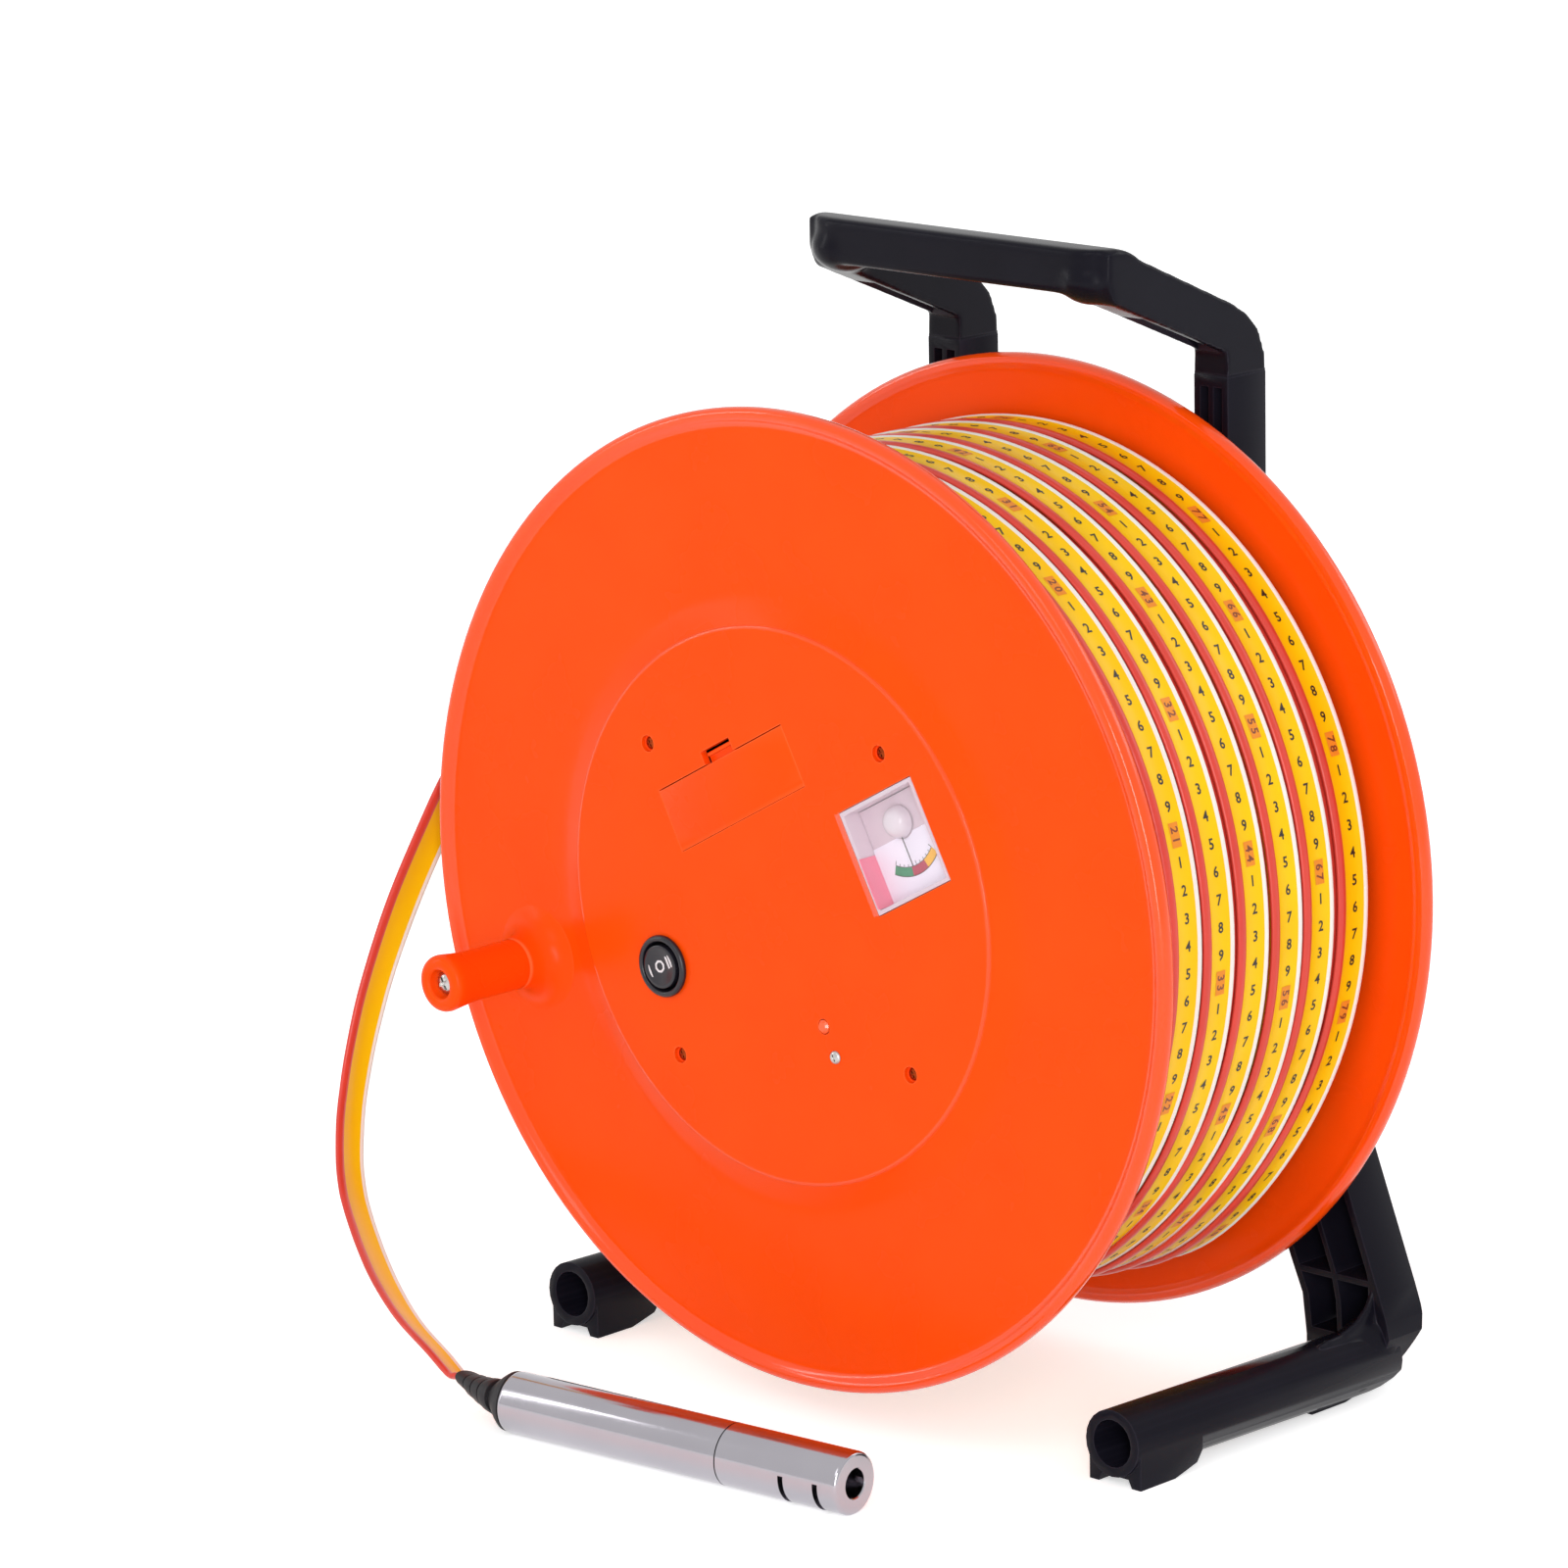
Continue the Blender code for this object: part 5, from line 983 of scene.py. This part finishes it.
# Knee of each leg: the back lower corner is cut round, and a web and two egg shapes melted
# together fill the inner corner between the leg's plate and the foot tube
low = -REEL.z
BACK_ROUND = [(176.7, low + 31), (176.1, low + 26.5), (174.7, low + 22), (172.4, low + 17.8),
              (169.4, low + 13.8), (165.4, low + 9.6), (160, low + 5.8), (154, low + 2.8),
              (148, low + 1.0), (142, low - 0.1), (121, low - 0.1), (121, low - 2),
              (182, low - 2), (182, low + 31)]
cut(stand, *[block("pad_side", (4.2, 37, 4), at(x, 140, low + 0.2), turned=False)
             for x in (-137.5, -126.9, 126.9, 137.5)])
cut(stand, slab("back_round", BACK_ROUND, -147, -104), slab("back_round", BACK_ROUND, 104, 147))
WEB = [(160, low + 41), (156.4, low + 41), (155.4, low + 37), (152.6, low + 33), (147, low + 29),
       (139, low + 26.8), (126, low + 25.6), (126, low + 12), (160, low + 12)]
knee = block("knee", (6.6, 19.0, 20), at(138.2, 166.2, low + 20), turned=False)
cut(knee, slab("web", WEB, 134.9, 137.6),
    bulb("heel", at(132.2, 146, low + 12.4), (11.9, 34, 12.0)),
    bulb("heel_end", at(133, 158, low + 16), (10.8, 14, 12)), operation="UNION")
cut(knee, slab("round", BACK_ROUND, 104, 147))
blended(knee, 1.0, 14)
modify(knee, "MIRROR")
alone(knee, handle, stand)
bpy.ops.object.join()
settle(stand, "stand", "black_plastic", polypropylene, angle=35)
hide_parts("stand_frame")


# Probe
# Upper barrel and nose of stainless steel turned on a lathe and finished satin, joined by a
# sealed spigot. The nose is slotted to let the water reach the pointed electrode.

# Turned stainless steel: a mirror broken by rings round the barrel, which draw each light out
# along it. Real turning rings are too fine to show, so they are drawn 0.3 mm wide.
satin = surface("stainless_satin", "#B0ADB3", "#A4A1A8", 0.14, 0.3, 0.004, metallic=1.0)
tree = satin.node_tree
shader = tree.nodes["Principled BSDF"]
place = add(tree, "TexCoord")
lengthways = add(tree, "Mapping", {"Rotation": (0, 0, -PROBE_YAW),
                                   "Scale": (1000 / 0.3, 1000 / 90, 1000 / 90)},
                 {"Vector": place.outputs["Object"]})
lines = add(tree, "TexNoise", {"Scale": 1.0, "Detail": 4.0},
            {"Vector": lengthways.outputs["Vector"]})
turning = add(tree, "Bump", {"Strength": 0.6, "Distance": 0.004 * MM},
              {"Height": lines.outputs["Fac"]})
tree.links.new(turning.outputs["Normal"], shader.inputs["Normal"])
streak = add(tree, "MapRange", {"To Min": 0.08, "To Max": 0.22}, {"Value": lines.outputs["Fac"]})
tree.links.new(streak.outputs["Result"], shader.inputs["Roughness"])
BARREL = [(11.25, 99.0), (11.25, 1.6), (11.1, 0.8), (10.7, 0.25), (10.25, 0.0), (6.3, 0.0),
          (6.3, 3.0), (9.65, 3.0), (9.65, 99.0)]
barrel = spun("upper_tube", BARREL, PROBE_BACK, PROBE_WAY, closed=True)
settle(barrel, "stand", "stainless_steel", satin, angle=30)
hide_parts("probe_upper_barrel")
NOSE_TIP = 152.3
NOSE = [(9.6, NOSE_TIP), (10.2, 152.25), (10.8, 151.9), (11.15, 151.3), (11.25, 150.6),
        (11.25, 99.5), (11.05, 99.3), (9.35, 99.3), (9.35, 87.3), (3.6, 87.3), (3.6, 124.3),
        (5.2, 124.3), (5.2, 151.9), (5.6, NOSE_TIP)]
nose = spun("nose_tube", NOSE, PROBE_BACK, PROBE_WAY, closed=True)
slot_side = Vector((math.sin(PROBE_YAW), -math.cos(PROBE_YAW), 0.0))
for distance in (9.0, 24.0):
    tool = block("slot_tool", (2.2, 22.5, 22.5), Vector((0, 0, 0)), turned=False)
    tool.data.transform(Matrix.Translation(PROBE_BACK + PROBE_WAY * ((NOSE_TIP - distance) * MM)
                                           + slot_side * (13.45 * MM) + Vector((0, 0, -10.25 * MM)))
                        @ Matrix.Rotation(PROBE_YAW, 4, "Z"))
    cut(nose, tool)
settle(nose, "stand", "stainless_steel", satin, angle=30)
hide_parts("probe_nose")


# Probe boot
# Black rubber moulded over the end of the tape, stepped down from the round barrel to the flat
# tape so that it bends with it.

# Moulded rubber: a dull black that keeps only broad grey highlights on its ribs
rubber = surface("rubber_black", "#201F22", "#19181B", 0.55, 0.6, 0.012)
# Distance along the probe, half width and half thickness, in mm, with the ribs' grooves
BOOT_STEPS = [(4.0, 6.0, 6.0), (-0.3, 6.0, 6.0), (-0.3, 10.6, 10.6), (-0.6, 10.9, 10.9),
              (-1.5, 10.8, 10.8), (-3.0, 10.3, 9.6), (-4.8, 9.4, 7.6), (-6.3, 8.9, 5.2),
              (-6.6, 10.2, 6.4), (-7.2, 10.5, 6.6), (-9.6, 10.5, 6.2), (-10.0, 10.2, 5.9),
              (-10.1, 8.9, 3.7), (-10.6, 10.1, 5.6), (-13.1, 10.1, 5.3), (-13.5, 9.9, 5.0),
              (-13.6, 8.6, 2.9), (-14.1, 9.8, 4.8), (-16.6, 9.8, 4.5), (-17.0, 9.6, 4.2),
              (-17.1, 8.5, 2.1), (-17.6, 9.4, 3.9), (-21.1, 9.3, 3.3), (-21.5, 8.5, 2.0)]
BOOT_SIDES = 48
wide = Vector((-math.sin(PROBE_YAW), math.cos(PROBE_YAW), 0.0)) * math.cos(BOOT_ROLL) \
    + Vector((0, 0, math.sin(BOOT_ROLL)))
thin = PROBE_WAY.cross(wide)
rings = []
for along, half_width, half_thick in BOOT_STEPS:
    lift = BOOT_LIFT * (max(0.0, -along - 4) / 17.5) ** 2
    middle = PROBE_BACK + PROBE_WAY * (along * MM) + Vector((0, 0, lift * MM))
    rings.append([middle + wide * (half_width * MM * math.cos(a))
                  + thin * (half_thick * MM * math.sin(a))
                  for a in [2 * math.pi * i / BOOT_SIDES for i in range(BOOT_SIDES)]])
boot = tube("boot_sleeve", rings)
settle(boot, "stand", "black_rubber", rubber, angle=40)
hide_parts("probe_boot")


# Inner parts
# Drum core, battery box, electronics, axle and bushes, mostly hidden: the CAD solids with the
# finishes of the real ones.

# Sintered bronze: a dull brown gold. Solder mask: glossy dark green. Shrunk film of the
# battery: blue grey with a tight gloss. Cast epoxy of the lamp: bright orange, wet-looking.
bronze = surface("bronze_sintered", "#A87B45", "#8F6636", 0.45, 0.3, 0.006, metallic=1.0)
solder_mask = surface("glass_epoxy_green", "#1E6B3A", "#185A31", 0.35, 0.6, 0.004)
jacket = surface("battery_jacket_film", "#3E5568", "#36495A", 0.25, 0.6, 0.003)
lens = surface("epoxy_lamp_orange", "#FF6224", "#F9581C", 0.06, 0.5, 0.002)
for material, names in ((polypropylene, ("drum_core", "battery_tray")),
                        (nylon, ("buzzer", "board_chip")), (jacket, ("battery",)),
                        (rubber, ("battery_connector", "probe_seal")),
                        (satin, ("axle", "probe_electrode")), (bronze, ("front_bush", "rear_bush")),
                        (zinc, ("rear_washer", "front_washer", "retaining_ring", "crank_nut",
                                "meter_movement")),
                        (card_white, ("probe_insulator",)), (lens, ("indicator_lamp",)),
                        (solder_mask, ("circuit_board",))):
    for name in names:
        for holder in frame["nodes"][name].material_slots:
            holder.material = material


# Studio
# A pale floor that keeps the object's shadow, and white all round for the camera and for what
# shines. A soft lamp stands above the front, a tall one to the right, a narrow one to the left
# that draws a line of light along the edges, and a soft one behind.
FLOOR_GLOW = 0.55
WORLD_ON_OBJECT, WORLD_SEEN = 0.62, 1.0
LAMPS = (("key", (0.4, -2.3, 2.2), 1.2, 1.2, 8), ("side", (2.2, -2.1, 0.95), 0.6, 1.8, 40),
         ("edge", (-2.0, -1.5, 1.0), 0.16, 1.5, 6), ("back", (1.2, 2.4, 1.5), 1.2, 1.2, 9))
LIT_SPOT = Vector((0, 0, 0.15))


def rays_that_see(tree):
    """Socket that is 1 for camera, glossy and transmission rays."""
    rays = add(tree, "LightPath")
    seen = add(tree, "Math", {"operation": "MAXIMUM"},
               {0: rays.outputs["Is Camera Ray"], 1: rays.outputs["Is Glossy Ray"]})
    seen = add(tree, "Math", {"operation": "MAXIMUM"},
               {0: seen.outputs[0], 1: rays.outputs["Is Transmission Ray"]})
    return seen.outputs[0]


alone()
bpy.ops.mesh.primitive_plane_add(size=16.0, location=(0, 0, 0))
floor = bpy.context.object
floor.name = "floor"
floor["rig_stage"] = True
# Matt paper: near white, it takes a soft shadow and glows a little to fade into the background
paper = bpy.data.materials.new("floor_paper")
paper.use_nodes = True
tree = paper.node_tree
shader = tree.nodes["Principled BSDF"]
shader.inputs["Base Color"].default_value = paint("#FAFAFA")
shader.inputs["Roughness"].default_value = 0.8
glow = add(tree, "Math", {"operation": "MULTIPLY"}, {0: rays_that_see(tree)})
glow.inputs[1].default_value = FLOOR_GLOW
shader.inputs["Emission Color"].default_value = (1, 1, 1, 1)
tree.links.new(glow.outputs[0], shader.inputs["Emission Strength"])
floor.data.materials.append(paper)

world = bpy.data.worlds.new("studio")
bpy.context.scene.world = world
world.use_nodes = True
tree = world.node_tree
ground = tree.nodes["Background"]
level_of = add(tree, "MapRange", {"To Min": WORLD_ON_OBJECT, "To Max": WORLD_SEEN},
               {"Value": rays_that_see(tree)})
tree.links.new(level_of.outputs["Result"], ground.inputs["Strength"])
ground.inputs["Color"].default_value = (1, 1, 1, 1)

for name, spot, width, height, power in LAMPS:
    alone()
    bpy.ops.object.light_add(type="AREA", location=spot)
    lamp = bpy.context.object
    lamp.name = name
    lamp.data.shape = "RECTANGLE"
    lamp.data.size = width
    lamp.data.size_y = height
    lamp.data.energy = power
    lamp.rotation_euler = (LIT_SPOT - Vector(spot)).to_track_quat("-Z", "Y").to_euler()

low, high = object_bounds()
